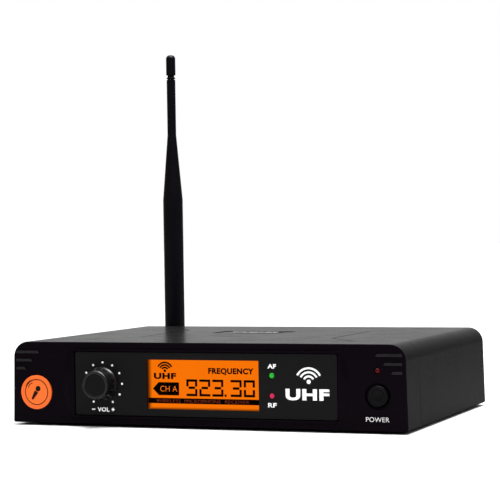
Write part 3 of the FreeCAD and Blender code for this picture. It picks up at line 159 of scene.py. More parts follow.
class ReceiverControls(bpy.types.PropertyGroup):
    """Sizes of the turned knob, the push button and the badge's picture."""

    knob_dish: length("Knob dish", "How far the knob's face is dished", 0.25)
    knob_rim: length("Knob rim", "Width of the knob's softened front edge", 0.7)
    knob_flare: length("Knob flare", "How much the knob's foot is wider than its grip", 0.8)
    knob_taper: length("Knob taper", "How much the grip widens from its face to its foot", 0.6)
    knob_cavity: length("Knob cavity", "Radius of the hollow in the knob's back", 6.0)
    knob_cavity_depth: length("Knob cavity depth", "Depth of that hollow", 3.2)
    knob_bore: length("Knob bore", "Radius of the bore for the shaft", 3.05)
    knob_cap: length("Knob cap", "Wall between the bore's end and the face", 1.2)
    button_cap: length("Button cap radius", "Radius of the part that is pressed", 5.1)
    button_flange: length("Button flange", "Thickness of the flange behind the fascia", 1.2)
    button_dish: length("Button dish", "How far the button's face is dished", 0.4)
    face_height: length("Face disc height", "Thickness of the matte disc in the knob's face", 0.05)
    symbol_radius: length("Symbol radius", "Radius of the power symbol's ring", 1.75)
    symbol_line: length("Symbol line", "Width of the power symbol's lines", 0.34)
    symbol_height: length("Symbol height", "How far the power symbol stands proud", 0.12)
    badge_line: length("Badge line", "Width of the ring on the badge", 0.45)
    badge_dish: length("Badge dish", "How far the badge's face lies behind its rim", 0.3)
    badge_height: length("Badge picture height", "How far the badge's picture stands proud", 0.04)


class ReceiverRibs(bpy.types.PropertyGroup):
    """Sizes of the strips on the ribs at both ends of the fascia, whose lighter colour is a painted highlight
    on the ribs.
    """

    count: IntProperty(name="Ribs", description="Ribs at each end", default=3, min=1)
    height: length("Rib height", "Height of one rib", 1.3)
    reach: length("Rib reach", "From the fascia's side to the longest rib's inner end", 15.7)
    step: length("Rib step", "How much shorter each rib is than the one above", 3.9)
    drop: length("Rib drop", "From the fascia's top to the highest rib", 5.3)
    pitch: length("Rib pitch", "From one rib to the next", 4.2)
    slant: length("Rib slant", "How far a rib's inner end leans", 0.8)
    outer_inset: length("Rib inset", "From the fascia's side to the ribs' outer ends", 2.4)
    sink: length("Rib sink", "How far the ribs' faces lie behind the fascia's highest face", 0.5)
    proud: length("Strip thickness", "Thickness of the satin strips", 0.04)


class ReceiverColours(bpy.types.PropertyGroup):
    """Main colours of the receiver."""

    case: colour("Case", "Moulded case and bezel", (0.0085, 0.0078, 0.0082))
    fascia: colour("Fascia", "Glossy front frame", (0.0031, 0.0018, 0.0034))
    panel: colour("Panel", "Matte display panel", (0.0066, 0.0067, 0.0068))
    badge: colour("Badge", "Enamelled badge", (0.86, 0.145, 0.018))
    print: colour("Print", "White ink", (0.93, 0.93, 0.94))
    screen: colour("Screen", "Lit display", (1.0, 0.185, 0.002))
    power: colour("Power lamp", "Lamp over the power button", (0.06, 0.002, 0.004))
    signal: colour("Signal lamp", "Lamp for sound", (0.02, 0.42, 0.03))
    radio: colour("Radio lamp", "Lamp for the radio link", (0.52, 0.02, 0.08))


class ReceiverStage(bpy.types.PropertyGroup):
    """Camera, lights and floor."""

    camera_at: FloatVectorProperty(name="Camera place", description="Where the camera stands",
                                   default=(0.343738, -0.886334, 0.09555), subtype="XYZ", unit="LENGTH")
    camera_turn: FloatVectorProperty(
        name="Camera turn", description="Which way the camera looks", subtype="EULER",
        default=(math.radians(89.54772), math.radians(0.92985), math.radians(21.46632)))
    camera_lens: FloatProperty(name="Lens", description="Focal length in millimetres", default=127.27)
    top_power: FloatProperty(name="Overhead light", description="Strength of the wide overhead light",
                             default=2.2)
    box_power: FloatProperty(name="Soft box", description="Power of the soft box over the controls",
                             default=9.0, unit="POWER")
    box_at: FloatVectorProperty(name="Soft box place", description="Where the soft box hangs",
                                default=(0.13, -0.07, 0.8), subtype="XYZ", unit="LENGTH")
    room_glow: FloatProperty(name="Room glow", description="Light from the dim sides of the room",
                             default=0.09)
    floor_radius: length("Floor radius", "How far the floor reaches", 12000.0)


# ---------------------------------------------------------------- shapes


def corners(node):
    """Lowest corner, highest corner and middle of a node's box."""
    low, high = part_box(node)
    return low, high, (low + high) / 2


def fit(verts, shape, width, height, spot):
    """Scale flat verts to a width and height and centre them on a spot."""
    xs, ys = [v.co.x for v in verts], [v.co.y for v in verts]
    wide, high = max(xs) - min(xs), max(ys) - min(ys)
    rise = height / high
    run = width / wide if width else rise
    middle = Vector(((max(xs) + min(xs)) / 2, (max(ys) + min(ys)) / 2, 0))
    move = Matrix.Translation((spot[0], spot[1], 0)) @ Matrix.Diagonal((run, rise, 1, 1))
    bmesh.ops.transform(shape, matrix=move @ Matrix.Translation(-middle), verts=verts)


def add_letters(shape, words, spot, height, width=None, weight=0.02, slant=0.0):
    """Flat letters, centred on a spot of the shape's plane."""
    text = bpy.data.curves.new("letters", "FONT")
    text.body = words
    text.offset = weight
    text.space_character = 1 + 2 * abs(weight)
    text.shear = slant
    text.resolution_u = 4
    holder = bpy.data.objects.new("letters", text)
    bpy.context.scene.collection.objects.link(holder)
    bpy.context.view_layer.update()
    flat = bpy.data.meshes.new_from_object(holder.evaluated_get(bpy.context.evaluated_depsgraph_get()))
    before = set(shape.verts)
    shape.from_mesh(flat)
    fit([v for v in shape.verts if v not in before], shape, width, height, spot)
    bpy.data.objects.remove(holder)
    bpy.data.curves.remove(text)
    bpy.data.meshes.remove(flat)


def add_dot(shape, spot, radius, segments=24):
    """A flat round dot."""
    bmesh.ops.create_circle(shape, cap_ends=True, radius=radius, segments=segments,
                            matrix=Matrix.Translation((spot[0], spot[1], 0)))


def add_band(shape, spot, radius, width, start, sweep):
    """A flat arc of even width, or a whole ring."""
    steps = max(8, round(48 * sweep / FULL_TURN))
    ends = [shape.verts.new((spot[0] + r * math.cos(start), spot[1] + r * math.sin(start), 0))
            for r in (radius - width / 2, radius + width / 2)]
    edge = shape.edges.new(ends)
    whole = abs(sweep - FULL_TURN) < 1e-6
    bmesh.ops.spin(shape, geom=ends + [edge], cent=(spot[0], spot[1], 0), axis=(0, 0, 1),
                   angle=sweep, steps=steps, use_merge=whole)
    for face in shape.faces:
        face.normal_update()
        if face.normal.z < 0:
            face.normal_flip()


def add_plate(shape, points):
    """A flat plate with a few corners, in anticlockwise order."""
    shape.faces.new([shape.verts.new((x, y, 0)) for x, y in points])


def add_bar(shape, spot, reach, width, upright):
    """One bar of a figure, with its corners cut off."""
    tip, half, nick = reach / 2, width / 2, width / 10
    points = [(-tip, nick - half), (nick - tip, -half), (tip - nick, -half), (tip, nick - half),
              (tip, half - nick), (tip - nick, half), (nick - tip, half), (-tip, half - nick)]
    if upright:
        points = [(-y, x) for x, y in points]
    add_plate(shape, [(spot[0] + x, spot[1] + y) for x, y in points])


def add_plus(shape, spot, reach, width):
    """A plus sign in one outline, an arm for each quarter turn."""
    tip, half = reach / 2, width / 2
    points = []
    for quarter in range(4):
        turn = Matrix.Rotation(math.radians(90 * quarter), 2)
        points += [turn @ Vector(point) for point in ((half, half), (half, tip), (-half, tip))]
    add_plate(shape, [(spot[0] + x, spot[1] + y) for x, y in points])


def add_waves(shape, spot, radius, width):
    """A generic radio mark: a dot under three arcs."""
    add_dot(shape, spot, radius * 0.16)
    for share in (0.4, 0.7, 1.0):
        add_band(shape, spot, radius * share, width, math.radians(28), math.radians(124))


def add_microphone(shape, spot, size):
    """A generic hand microphone, leaning to the right."""
    before = set(shape.verts)
    add_dot(shape, (0, size * 0.62), size * 0.36, 32)
    add_plate(shape, [(-size * 0.3, size * 0.2), (-size * 0.13, -size), (size * 0.13, -size),
                      (size * 0.3, size * 0.2)])
    drawn = [v for v in shape.verts if v not in before]
    lean = Matrix.Translation((spot[0], spot[1], 0)) @ Matrix.Rotation(math.radians(-32), 4, "Z")
    bmesh.ops.transform(shape, matrix=lean, verts=drawn)


def turned(profile, centre, soften):
    """Turn a profile of radius and depth pairs round the front to back axis, and soften its edges."""
    shape = bmesh.new()
    ring = [shape.verts.new((radius, depth, 0)) for radius, depth in profile]
    outline = [shape.edges.new(pair) for pair in zip(ring, ring[1:])]
    bmesh.ops.spin(shape, geom=ring + outline, cent=(0, 0, 0), axis=(0, 1, 0),
                   angle=FULL_TURN, steps=TURNED_SIDES, use_merge=True)
    bmesh.ops.remove_doubles(shape, verts=shape.verts, dist=1e-7)
    bmesh.ops.recalc_face_normals(shape, faces=shape.faces)
    sharp = [e for e in shape.edges if e.is_manifold and e.calc_face_angle() > SHARP]
    bmesh.ops.bevel(shape, geom=sharp, offset=soften, offset_type="OFFSET", segments=3,
                    profile=0.5, affect="EDGES", clamp_overlap=True, material=-1)
    bmesh.ops.translate(shape, vec=(centre.x, 0, centre.z), verts=shape.verts)
    return shape


def piece(name, shape, finish, body, stands_for=None):
    """Make a piece that rides on a body; one that stands for a node is smooth between sharp edges."""
    mesh = bpy.data.meshes.new(name)
    shape.to_mesh(mesh)
    shape.free()
    mesh.materials.append(finish)
    if stands_for:
        mesh.shade_smooth()
        mesh.set_sharp_from_angle(angle=SHARP)
    made = bpy.data.objects.new(name, mesh)
    bpy.context.scene.collection.objects.link(made)
    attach(made, body)
    if stands_for:
        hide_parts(stands_for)


def flat_piece(name, shape, depth, facing, spot, finish, body="root"):
    """Give flat faces a closed thickness, lay them on their panel and make them a piece."""
    grown = bmesh.ops.extrude_face_region(shape, geom=shape.faces[:], use_keep_orig=True)
    tops = [item for item in grown["geom"] if isinstance(item, bmesh.types.BMVert)]
    bmesh.ops.translate(shape, vec=(0, 0, depth), verts=tops)
    bmesh.ops.recalc_face_normals(shape, faces=shape.faces)
    bmesh.ops.transform(shape, matrix=Matrix.Translation(spot) @ facing, verts=shape.verts)
    piece(name, shape, finish, body)


# ---------------------------------------------------------------- finishes


def fill(tree, socket, value):
    """Set an input to a number or a colour, or link an output to it."""
    if isinstance(value, bpy.types.NodeSocket):
        tree.links.new(value, socket)
    else:
        socket.default_value = value


def feed(tree, inputs, **values):
    """Fill inputs by name, with an underscore for each space."""
    for key, value in values.items():
        fill(tree, inputs[key.replace("_", " ")], value)


def add_node(tree, kind, **settings):
    """Add a node; each setting is one of its properties or fills one of its inputs."""
    made = tree.nodes.new("ShaderNode" + kind)
    for key, value in settings.items():
        if hasattr(made, key):
            setattr(made, key, value)
        else:
            feed(tree, made.inputs, **{key: value})
    return made


def add_math(tree, operation, first, second, kind="Math", output=0):
    """Add a math node on two values, each a constant or an output."""
    made = add_node(tree, kind, operation=operation)
    for socket, value in zip(made.inputs, (first, second)):
        fill(tree, socket, value)
    return made.outputs[output]


def add_ramp(tree, value, low, high):
    """Spread the values between low and high over nought to one."""
    return add_node(tree, "MapRange", Value=value, From_Min=low, From_Max=high).outputs["Result"]


def add_noise(tree, where, scale, detail, **more):
    """A cloudy pattern of values."""
    return add_node(tree, "TexNoise", Vector=where, Scale=scale, Detail=detail, **more).outputs["Fac"]


def new_group(name, inputs, outputs):
    """Start a shader node group with named inputs, with their defaults, and named outputs."""
    tree = bpy.data.node_groups.new(name, "ShaderNodeTree")
    for label, kind, default in inputs:
        socket = tree.interface.new_socket(name=label, in_out="INPUT", socket_type="NodeSocket" + kind)
        if default is not None:
            socket.default_value = default
    for label, kind in outputs:
        tree.interface.new_socket(name=label, in_out="OUTPUT", socket_type="NodeSocket" + kind)
    return tree, tree.nodes.new("NodeGroupInput").outputs, tree.nodes.new("NodeGroupOutput").inputs


def moulded_grain_group():
    """Fine grain of a moulded or painted skin, and slow drifts of its tone."""
    tree, given, result = new_group(
        "Moulded grain", [("Vector", "Vector", None), ("Size", "Float", 0.4 * MM)],
        [("Height", "Float"), ("Tone", "Float")])
    where = given["Vector"]
    pitch = add_math(tree, "DIVIDE", 1.0, given["Size"])
    grain = add_noise(tree, where, pitch, 2.0, Roughness=0.6)
    pits = add_node(tree, "TexVoronoi", feature="SMOOTH_F1", Vector=where, Scale=pitch)
    pits = add_math(tree, "MULTIPLY", pits.outputs["Distance"], 0.6)
    drift = add_noise(tree, where, 28.0, 3.0)
    feed(tree, result, Height=add_math(tree, "ADD", grain, pits), Tone=add_ramp(tree, drift, 0.3, 0.7))
    return tree


def handling_group():
    """Smudges that change the gloss, and dust that settles on faces that look up."""
    tree, given, result = new_group(
        "Handling", [("Vector", "Vector", None), ("Smudge", "Float", 0.05), ("Dust", "Float", 0.2)],
        [("Gloss", "Float"), ("Dust", "Float")])
    where = given["Vector"]
    facing = add_node(tree, "NewGeometry").outputs["Normal"]
    upward = add_node(tree, "SeparateXYZ", Vector=facing).outputs["Z"]
    marks = add_ramp(tree, add_noise(tree, where, 45.0, 4.0, Roughness=0.65, Distortion=0.6), 0.45, 0.7)
    specks = add_ramp(tree, add_noise(tree, where, 1400.0, 1.0), 0.55, 0.75)
    clouds = add_ramp(tree, add_noise(tree, where, 30.0, 2.0), 0.3, 0.8)
    settled = add_math(tree, "MULTIPLY", add_math(tree, "MULTIPLY", specks, clouds),
                       add_ramp(tree, upward, 0.2, 1.0))
    feed(tree, result, Gloss=add_math(tree, "MULTIPLY", marks, given["Smudge"]),
         Dust=add_math(tree, "MULTIPLY", settled, given["Dust"]))
    return tree


def soft_edge_group():
    """Corners that catch the light as if slightly rounded, and a mask of them for wear."""
    tree, given, result = new_group(
        "Soft edges", [("Radius", "Float", 0.2 * MM), ("Wear", "Float", 0.1)],
        [("Normal", "Vector"), ("Worn", "Float")])
    rounded = add_node(tree, "Bevel", samples=4, Radius=given["Radius"]).outputs[0]
    flat = add_node(tree, "NewGeometry").outputs["True Normal"]
    along = add_math(tree, "DOT_PRODUCT", rounded, flat, "VectorMath", "Value")
    turned_away = add_ramp(tree, along, 0.995, 0.75)
    feed(tree, result, Normal=rounded, Worn=add_math(tree, "MULTIPLY", turned_away, given["Wear"]))
    return tree


def machined_lines_group():
    """Fine lines left by rolling, turning or brushing, drawn out along one axis."""
    tree, given, result = new_group(
        "Machined lines", [("Vector", "Vector", None), ("Stretch", "Vector", (2500.0, 2500.0, 60.0))],
        [("Height", "Float"), ("Tone", "Float")])
    drawn = add_math(tree, "MULTIPLY", given["Vector"], given["Stretch"], "VectorMath")
    cloud = add_noise(tree, given["Vector"], 60.0, 2.0)
    feed(tree, result, Height=add_noise(tree, drawn, 1.0, 3.0, Roughness=0.55),
         Tone=add_ramp(tree, cloud, 0.3, 0.7))
    return tree


def add_group(tree, name, **values):
    """Place a shared node group, built the first time that it is asked for, and fill its inputs."""
    makers = {"Moulded grain": moulded_grain_group, "Handling": handling_group,
              "Soft edges": soft_edge_group, "Machined lines": machined_lines_group}
    shared = bpy.data.node_groups.get(name) or makers[name]()
    return add_node(tree, "Group", node_tree=shared, **values).outputs


def start_finish(name):
    """A new material, its nodes, its shader's inputs and the point that its patterns follow."""
    finish = bpy.data.materials.new(name)
    finish.use_nodes = True
    tree = finish.node_tree
    tree.nodes.clear()
    shader = add_node(tree, "BsdfPrincipled")
    add_node(tree, "OutputMaterial", Surface=shader.outputs[0])
    return finish, tree, shader.inputs, add_node(tree, "TexCoord").outputs["Object"]


def tinted(tree, base, other, amount):
    """Mix two colours by an amount that changes over the surface."""
    mix = add_node(tree, "Mix", data_type="RGBA")
    for place, value in ((0, amount), (6, (*base, 1.0)), (7, (*other, 1.0))):
        fill(tree, mix.inputs[place], value)
    return mix.outputs[2]


def raised(tree, height, depth, **more):
    """The normal of a surface that a pattern raises by a depth."""
    return add_node(tree, "Bump", Distance=depth, Strength=1.0, Height=height, **more).outputs[0]


def lighter(base, share):
    """A colour moved a share of the way to pale grey."""
    return tuple(c + (0.55 - c) * share for c in base)


def darker(base, share):
    """A colour with a share of its brightness."""
    return tuple(c * share for c in base)


def moulded(name, base, roughness, grain=0.4 * MM, depth=0.02 * MM, smudge=0.05, dust=0.25,
            edge=0.2 * MM, wear=0.1, shine=0.12, tone=0.02):
    """A moulded, rubber or painted skin: grain, tone drifts, smudges, dust and soft edges."""
    finish, tree, shader, where = start_finish(name)
    skin = add_group(tree, "Moulded grain", Vector=where, Size=grain)
    touch = add_group(tree, "Handling", Vector=where, Smudge=smudge, Dust=dust)
    edges = add_group(tree, "Soft edges", Radius=edge, Wear=wear)
    marks = add_math(tree, "ADD", add_math(tree, "MULTIPLY", skin["Tone"], tone), touch["Dust"])
    marks = add_math(tree, "ADD", marks, edges["Worn"])
    rough = add_math(tree, "ADD", touch["Gloss"], roughness)
    rough = add_math(tree, "ADD", rough, add_math(tree, "MULTIPLY", touch["Dust"], 0.5))
    feed(tree, shader, Base_Color=tinted(tree, base, lighter(base, 0.35), marks), Roughness=rough,
         Normal=raised(tree, skin["Height"], depth, Normal=edges["Normal"]), Specular_IOR_Level=shine)
    return finish


def machined(name, base, roughness, stretch=(2500.0, 2500.0, 60.0)):
    """Bare or plated metal: machined lines, stains, smudges and bright edges."""
    finish, tree, shader, where = start_finish(name)
    lines = add_group(tree, "Machined lines", Vector=where, Stretch=stretch)
    touch = add_group(tree, "Handling", Vector=where, Smudge=0.06, Dust=0.1)
    edges = add_group(tree, "Soft edges", Radius=0.12 * MM, Wear=0.2)
    marks = add_math(tree, "ADD", add_math(tree, "MULTIPLY", lines["Tone"], 0.2), edges["Worn"])
    rough = add_math(tree, "ADD", add_math(tree, "MULTIPLY", lines["Height"], 0.12), roughness)
    rough = add_math(tree, "ADD", rough, touch["Gloss"])
    feed(tree, shader, Base_Color=tinted(tree, base, lighter(base, 0.6), marks), Roughness=rough,
         Normal=raised(tree, lines["Height"], 0.006 * MM, Normal=edges["Normal"]), Metallic=1.0)
    return finish


def glowing(name, base, glow, strength, roughness=0.25):
    """A lit lens or picture: its glow drifts a little over its surface."""
    finish, tree, shader, where = start_finish(name)
    drift = add_ramp(tree, add_noise(tree, where, 90.0, 2.0), 0.25, 0.75)
    feed(tree, shader, Base_Color=tinted(tree, base, darker(base, 0.8), drift), Roughness=roughness,
         Emission_Color=tinted(tree, glow, darker(glow, 0.86), drift), Emission_Strength=strength,
         Specular_IOR_Level=0.2)
    return finish


def backlight(name, glow, low):
    """The display's lit ground, with painted shade of its window's walls towards the left and the foot of the
    window.
    """
    finish, tree, shader, where = start_finish(name)
    parts = add_node(tree, "SeparateXYZ", Vector=where).outputs
    # Painted shade: the glow darkens near the window's left edge and foot, where the window's walls would
    # shade it.
    left = add_ramp(tree, parts["X"], low.x + 2.2 * MM, low.x + 0.2 * MM)
    foot = add_ramp(tree, parts["Z"], low.z + 1.0 * MM, low.z - 0.2 * MM)
    drift = add_math(tree, "MULTIPLY", add_noise(tree, where, 60.0, 2.0), 0.1)
    shade = add_math(tree, "ADD", add_math(tree, "MAXIMUM", left, foot), drift)
    feed(tree, shader, Emission_Color=tinted(tree, glow, darker(glow, 0.12), shade), Emission_Strength=1.0,
         Base_Color=(0.004, 0.001, 0.0005, 1.0), Roughness=0.6, Specular_IOR_Level=0.0)
    return finish


def clear(name):
    """The display's clear window, with faint wiping marks."""
    finish, tree, shader, where = start_finish(name)
    touch = add_group(tree, "Handling", Vector=where, Smudge=0.04, Dust=0.0)
    feed(tree, shader, Roughness=add_math(tree, "ADD", touch["Gloss"], 0.02),
         Base_Color=(0.98, 0.97, 0.95, 1.0), Transmission_Weight=1.0, IOR=1.04)
    return finish


def laminate(name):
    """Green circuit board with faint copper runs under the lacquer."""
    finish, tree, shader, where = start_finish(name)
    runs = add_node(tree, "TexVoronoi", distance="CHEBYCHEV", feature="DISTANCE_TO_EDGE", Scale=420.0,
                    Vector=where)
    skin = add_group(tree, "Moulded grain", Vector=where, Size=0.5 * MM)
    copper = add_ramp(tree, runs.outputs["Distance"], 0.12, 0.06)
    rough = add_math(tree, "ADD", add_math(tree, "MULTIPLY", skin["Tone"], 0.1), 0.3)
    feed(tree, shader, Base_Color=tinted(tree, (0.005, 0.07, 0.02), (0.02, 0.16, 0.04), copper),
         Roughness=rough, Normal=raised(tree, copper, 0.03 * MM))
    return finish


def stripes(name, base, line, pitch):
    """Flat cable: parallel wires across its width."""
    finish, tree, shader, where = start_finish(name)
    wires = add_node(tree, "TexWave", bands_direction="X", Scale=pitch, Vector=where).outputs["Fac"]
    feed(tree, shader, Base_Color=tinted(tree, base, line, wires), Roughness=0.5,
         Normal=raised(tree, wires, 0.1 * MM))
    return finish


def studio_world(glow):
    """A white room to the eye, which lights the object from above and from behind on the left."""
    world = bpy.data.worlds.new("studio")
    world.use_nodes = True
    tree = world.node_tree
    seen = add_node(tree, "LightPath").outputs["Is Camera Ray"]
    way = add_node(tree, "SeparateXYZ", Vector=add_node(tree, "TexCoord").outputs["Generated"]).outputs
    above = add_math(tree, "MULTIPLY", add_ramp(tree, way["Z"], 0.15, 0.9), 0.6)
    behind = add_math(tree, "MULTIPLY", add_ramp(tree, way["Y"], 0.3, 0.95), 0.78)
    behind = add_math(tree, "MULTIPLY", behind, add_ramp(tree, way["X"], 0.35, -0.42))
    light = add_math(tree, "ADD", add_math(tree, "ADD", above, behind), glow)
    white = add_node(tree, "Mix")
    for place, value in ((0, seen), (2, light), (3, 1.0)):
        fill(tree, white.inputs[place], value)
    feed(tree, tree.nodes["Background"].inputs, Color=white.outputs[0])
    return world


def dress(finish, *names):
    """Give carried-over nodes their finish."""
    for name in names:
        for slot in nodes[name].material_slots:
            slot.material = finish


def add_light(name, kind, spot, **settings):
    """Hang a light that points straight down."""
    light = bpy.data.lights.new(name, kind)
    for key, value in settings.items():
        setattr(light, key, value)
    hung = bpy.data.objects.new(name, light)
    hung.location = spot
    bpy.context.scene.collection.objects.link(hung)


# ---------------------------------------------------------------- operators


class RECEIVER_OT_case(bpy.types.Operator):
    """Finish the case, the bezel, the fascia and what is fixed to them"""

    bl_idname = "receiver.case"
    bl_label = "Case"

    def execute(self, context):
        tint = context.scene.receiver_colours
        case = moulded("case satin", tuple(tint.case), 0.24, depth=0.008 * MM, wear=0.05, dust=0.1,
                       shine=0.012, tone=0.005)
        dress(case, "top_cover", "front_bezel")
        dress(moulded("plaque satin", tuple(tint.case), 0.22, grain=0.25 * MM, shine=0.012), "top_plaque")
        dress(moulded("fascia gloss", tuple(tint.fascia), 0.12, grain=3 * MM, depth=0.004 * MM,
                      smudge=0.1, dust=0.02, wear=0.0, shine=0.03, tone=0.001), "front_fascia")
        dress(moulded("panel film", tuple(tint.panel), 0.5, grain=0.18 * MM, depth=0.008 * MM,
                      smudge=0.04, dust=0.01, wear=0.01, shine=0.08, tone=0.003), "display_panel")
        dress(moulded("tray powder coat", (0.012, 0.012, 0.013), 0.5, grain=0.7 * MM, depth=0.05 * MM),
              "bottom_tray")
        dress(moulded("rear powder coat", (0.010, 0.010, 0.011), 0.45, grain=0.6 * MM, depth=0.04 * MM),
              "rear_panel")
        dress(moulded("foot rubber", (0.010, 0.010, 0.010), 0.75, grain=0.5 * MM, depth=0.06 * MM,
                      wear=0.02), "rubber_feet")
        dress(machined("screw zinc", (0.06, 0.06, 0.065), 0.3), "case_screws", "board_screws",
              "rear_panel_screws", "xlr_screws", "front_board_screws")
        return {"FINISHED"}


class RECEIVER_OT_ribs(bpy.types.Operator):
    """Face the fascia's six ribs with satin strips, whose lighter colour is a painted highlight along the
    ribs
    """

    bl_idname = "receiver.ribs"
    bl_label = "Ribs"

    def execute(self, context):
        size = context.scene.receiver_ribs
        low, high, centre = corners("front_fascia")
        strips = bmesh.new()
        half, outer = size.height / 2, high.x - centre.x - size.outer_inset
        for step in range(size.count):
            inner = high.x - centre.x - size.reach + step * size.step
            rise = high.z - centre.z - size.drop - step * size.pitch
            corners_of_strip = [(inner, rise - half), (outer, rise - half), (outer, rise + half),
                                (inner + size.slant, rise + half)]
            add_plate(strips, corners_of_strip)
            add_plate(strips, [(-x, y) for x, y in reversed(corners_of_strip)])
        # Painted highlight: the strips are lighter than the fascia so the ribs read as lit; their satin gloss
        # is real.
        satin = moulded("rib highlight satin", (0.011, 0.0095, 0.0118), 0.35, grain=0.25 * MM, depth=0.01 * MM,
                        dust=0.05)
        spot = (centre.x, low.y + size.sink, centre.z)
        flat_piece("rib_highlight_strips", strips, size.proud, FACING_FRONT, spot, satin)
        return {"FINISHED"}


class RECEIVER_OT_inside(bpy.types.Operator):
    """Finish the boards and the parts that the case hides"""

    bl_idname = "receiver.inside"
    bl_label = "Inside"

    def execute(self, context):
        dress(laminate("board laminate"), "main_board", "front_board")
        dress(moulded("black nylon", (0.014, 0.014, 0.014), 0.45), "potentiometer_body",
              "power_switch_body", "audio_chips", "voltage_regulator", "jack_socket_body",
              "dc_inlet", "squelch_trimmer_body", "antenna_coax", "power_switch_plunger",
              "xlr_insert")
        dress(moulded("white nylon", (0.72, 0.70, 0.64), 0.4, tone=0.1), "board_connectors", "lcd_frame",
              "squelch_rotor")
        dress(moulded("light guide", (0.8, 0.8, 0.78), 0.2, tone=0.1), "backlight_guide")
        dress(stripes("ribbon wires", (0.30, 0.31, 0.32), (0.16, 0.17, 0.18), 800.0), "ribbon_cable")
        dress(machined("tinned can", (0.62, 0.62, 0.60), 0.25), "rf_shield_can", "crystal_oscillator")
        dress(machined("black heat sink", (0.03, 0.03, 0.033), 0.35), "regulator_heatsink")
        dress(moulded("capacitor sleeve", (0.010, 0.014, 0.045), 0.3), "filter_capacitors")
        dress(machined("nickel plate", (0.60, 0.58, 0.54), 0.22, stretch=(60.0, 2500.0, 60.0)),
              "potentiometer_shaft", "potentiometer_washer", "potentiometer_nut", "dc_pin",
              "jack_washer", "jack_nut", "antenna_jack_nut", "antenna_coupling_nut", "xlr_pins")
        dress(machined("socket shell", (0.36, 0.36, 0.35), 0.34, stretch=(900.0, 60.0, 900.0)), "xlr_shell")
        dress(machined("brass plate", (0.72, 0.50, 0.20), 0.25, stretch=(60.0, 2500.0, 60.0)), "antenna_jack")
        return {"FINISHED"}


class RECEIVER_OT_antenna(bpy.types.Operator):
    """Finish the whip, its cap and its hinge"""

    bl_idname = "receiver.antenna"
    bl_label = "Antenna"

    def execute(self, context):
        dress(moulded("antenna rubber", (0.0016, 0.0010, 0.0022), 0.3, grain=0.3 * MM, depth=0.004 * MM,
                      dust=0.02, wear=0.0, shine=0.16, tone=0.001), "antenna_whip", "antenna_tip_cap")
        dress(moulded("hinge nylon", (0.012, 0.012, 0.013), 0.4), "antenna_elbow")
        dress(machined("hinge pin", (0.5, 0.5, 0.5), 0.2), "antenna_hinge_pin")
        return {"FINISHED"}


class RECEIVER_OT_knob(bpy.types.Operator):
    """Turn the volume knob"""

    bl_idname = "receiver.knob"
    bl_label = "Volume knob"

    def execute(self, context):
        size = context.scene.receiver_controls
        low, high, centre = corners("volume_knob")
        front, back, foot = low.y, high.y, (high.x - low.x) / 2
        grip = foot - size.knob_flare - size.knob_taper
        bore_end = front + size.knob_cap
        profile = [
            (0, front + size.knob_dish), (grip - 2 * size.knob_rim, front + size.knob_dish),
            (grip - 1.4 * size.knob_rim, front), (grip - size.knob_rim, front),
            (grip - 0.3 * size.knob_rim, front + 0.3 * size.knob_rim), (grip, front + size.knob_rim),
            (grip + 0.6 * size.knob_taper, back - 4 * size.knob_rim),
            (grip + size.knob_taper, back - 3 * size.knob_rim),
            (foot - 0.5 * size.knob_flare, back - 2.1 * size.knob_rim),
            (foot - 0.1 * size.knob_flare, back - 1.3 * size.knob_rim),
            (foot, back - size.knob_rim), (foot, back), (size.knob_cavity, back),
            (size.knob_cavity, back - size.knob_cavity_depth),
            (size.knob_bore, back - size.knob_cavity_depth), (size.knob_bore, bore_end), (0, bore_end),
        ]
        gloss = moulded("knob gloss", (0.0025, 0.0025, 0.0027), 0.25, grain=0.3 * MM, depth=0.002 * MM,
                        smudge=0.05, dust=0.0, wear=0.0, shine=0.8, tone=0.001)
        piece("knob_turned", turned(profile, centre, 0.12 * MM), gloss, "knob", "volume_knob")
        face = bmesh.new()
        add_dot(face, (0, 0), grip - 2.2 * size.knob_rim, 64)
        matte = moulded("knob face", (0.0045, 0.0045, 0.0047), 0.55, grain=0.2 * MM, depth=0.01 * MM,
                        tone=0.004)
        spot = (centre.x, front + size.knob_dish, centre.z)
        flat_piece("knob_face", face, size.face_height, FACING_FRONT, spot, matte, "knob")
        return {"FINISHED"}


class RECEIVER_OT_button(bpy.types.Operator):
    """Turn the power button and mark it with its symbol"""

    bl_idname = "receiver.button"
    bl_label = "Power button"

    def execute(self, context):
        size = context.scene.receiver_controls
        low, high, centre = corners("power_button")
        front, back, flange = low.y, high.y, (high.x - low.x) / 2
        cap, dish = size.button_cap, size.button_dish
        shoulder = back - size.button_flange
        profile = [
            (0, front + dish), (cap * 0.46, front + dish), (cap * 0.52, front + 0.6 * dish),
            (cap * 0.6, front + 0.55 * dish), (cap * 0.66, front + 0.95 * dish),
            (cap * 0.72, front + 0.8 * dish), (cap * 0.82, front + 0.1 * dish), (cap * 0.87, front),
            (cap * 0.95, front + 0.4 * dish), (cap, front + 1.4 * dish), (cap, shoulder),
            (flange, shoulder), (flange, back), (0, back),
        ]
        gloss = moulded("button satin", (0.0016, 0.0012, 0.0018), 0.3, grain=0.25 * MM, depth=0.003 * MM,
                        dust=0.0, wear=0.0, shine=0.2, tone=0.001)
        piece("button_turned", turned(profile, centre, 0.1 * MM), gloss, "button",
              "power_button")
        mark = bmesh.new()
        add_band(mark, (0, 0), size.symbol_radius, size.symbol_line, math.radians(125), math.radians(290))
        add_bar(mark, (0, size.symbol_radius * 0.75), size.symbol_radius * 1.1, size.symbol_line, True)
        engraved = moulded("symbol satin", (0.0065, 0.006, 0.0068), 0.4, wear=0.0, shine=0.05, tone=0.001)
        spot = (centre.x, front + dish, centre.z)
        flat_piece("button_symbol", mark, size.symbol_height, FACING_FRONT, spot, engraved,
                   "button")
        return {"FINISHED"}


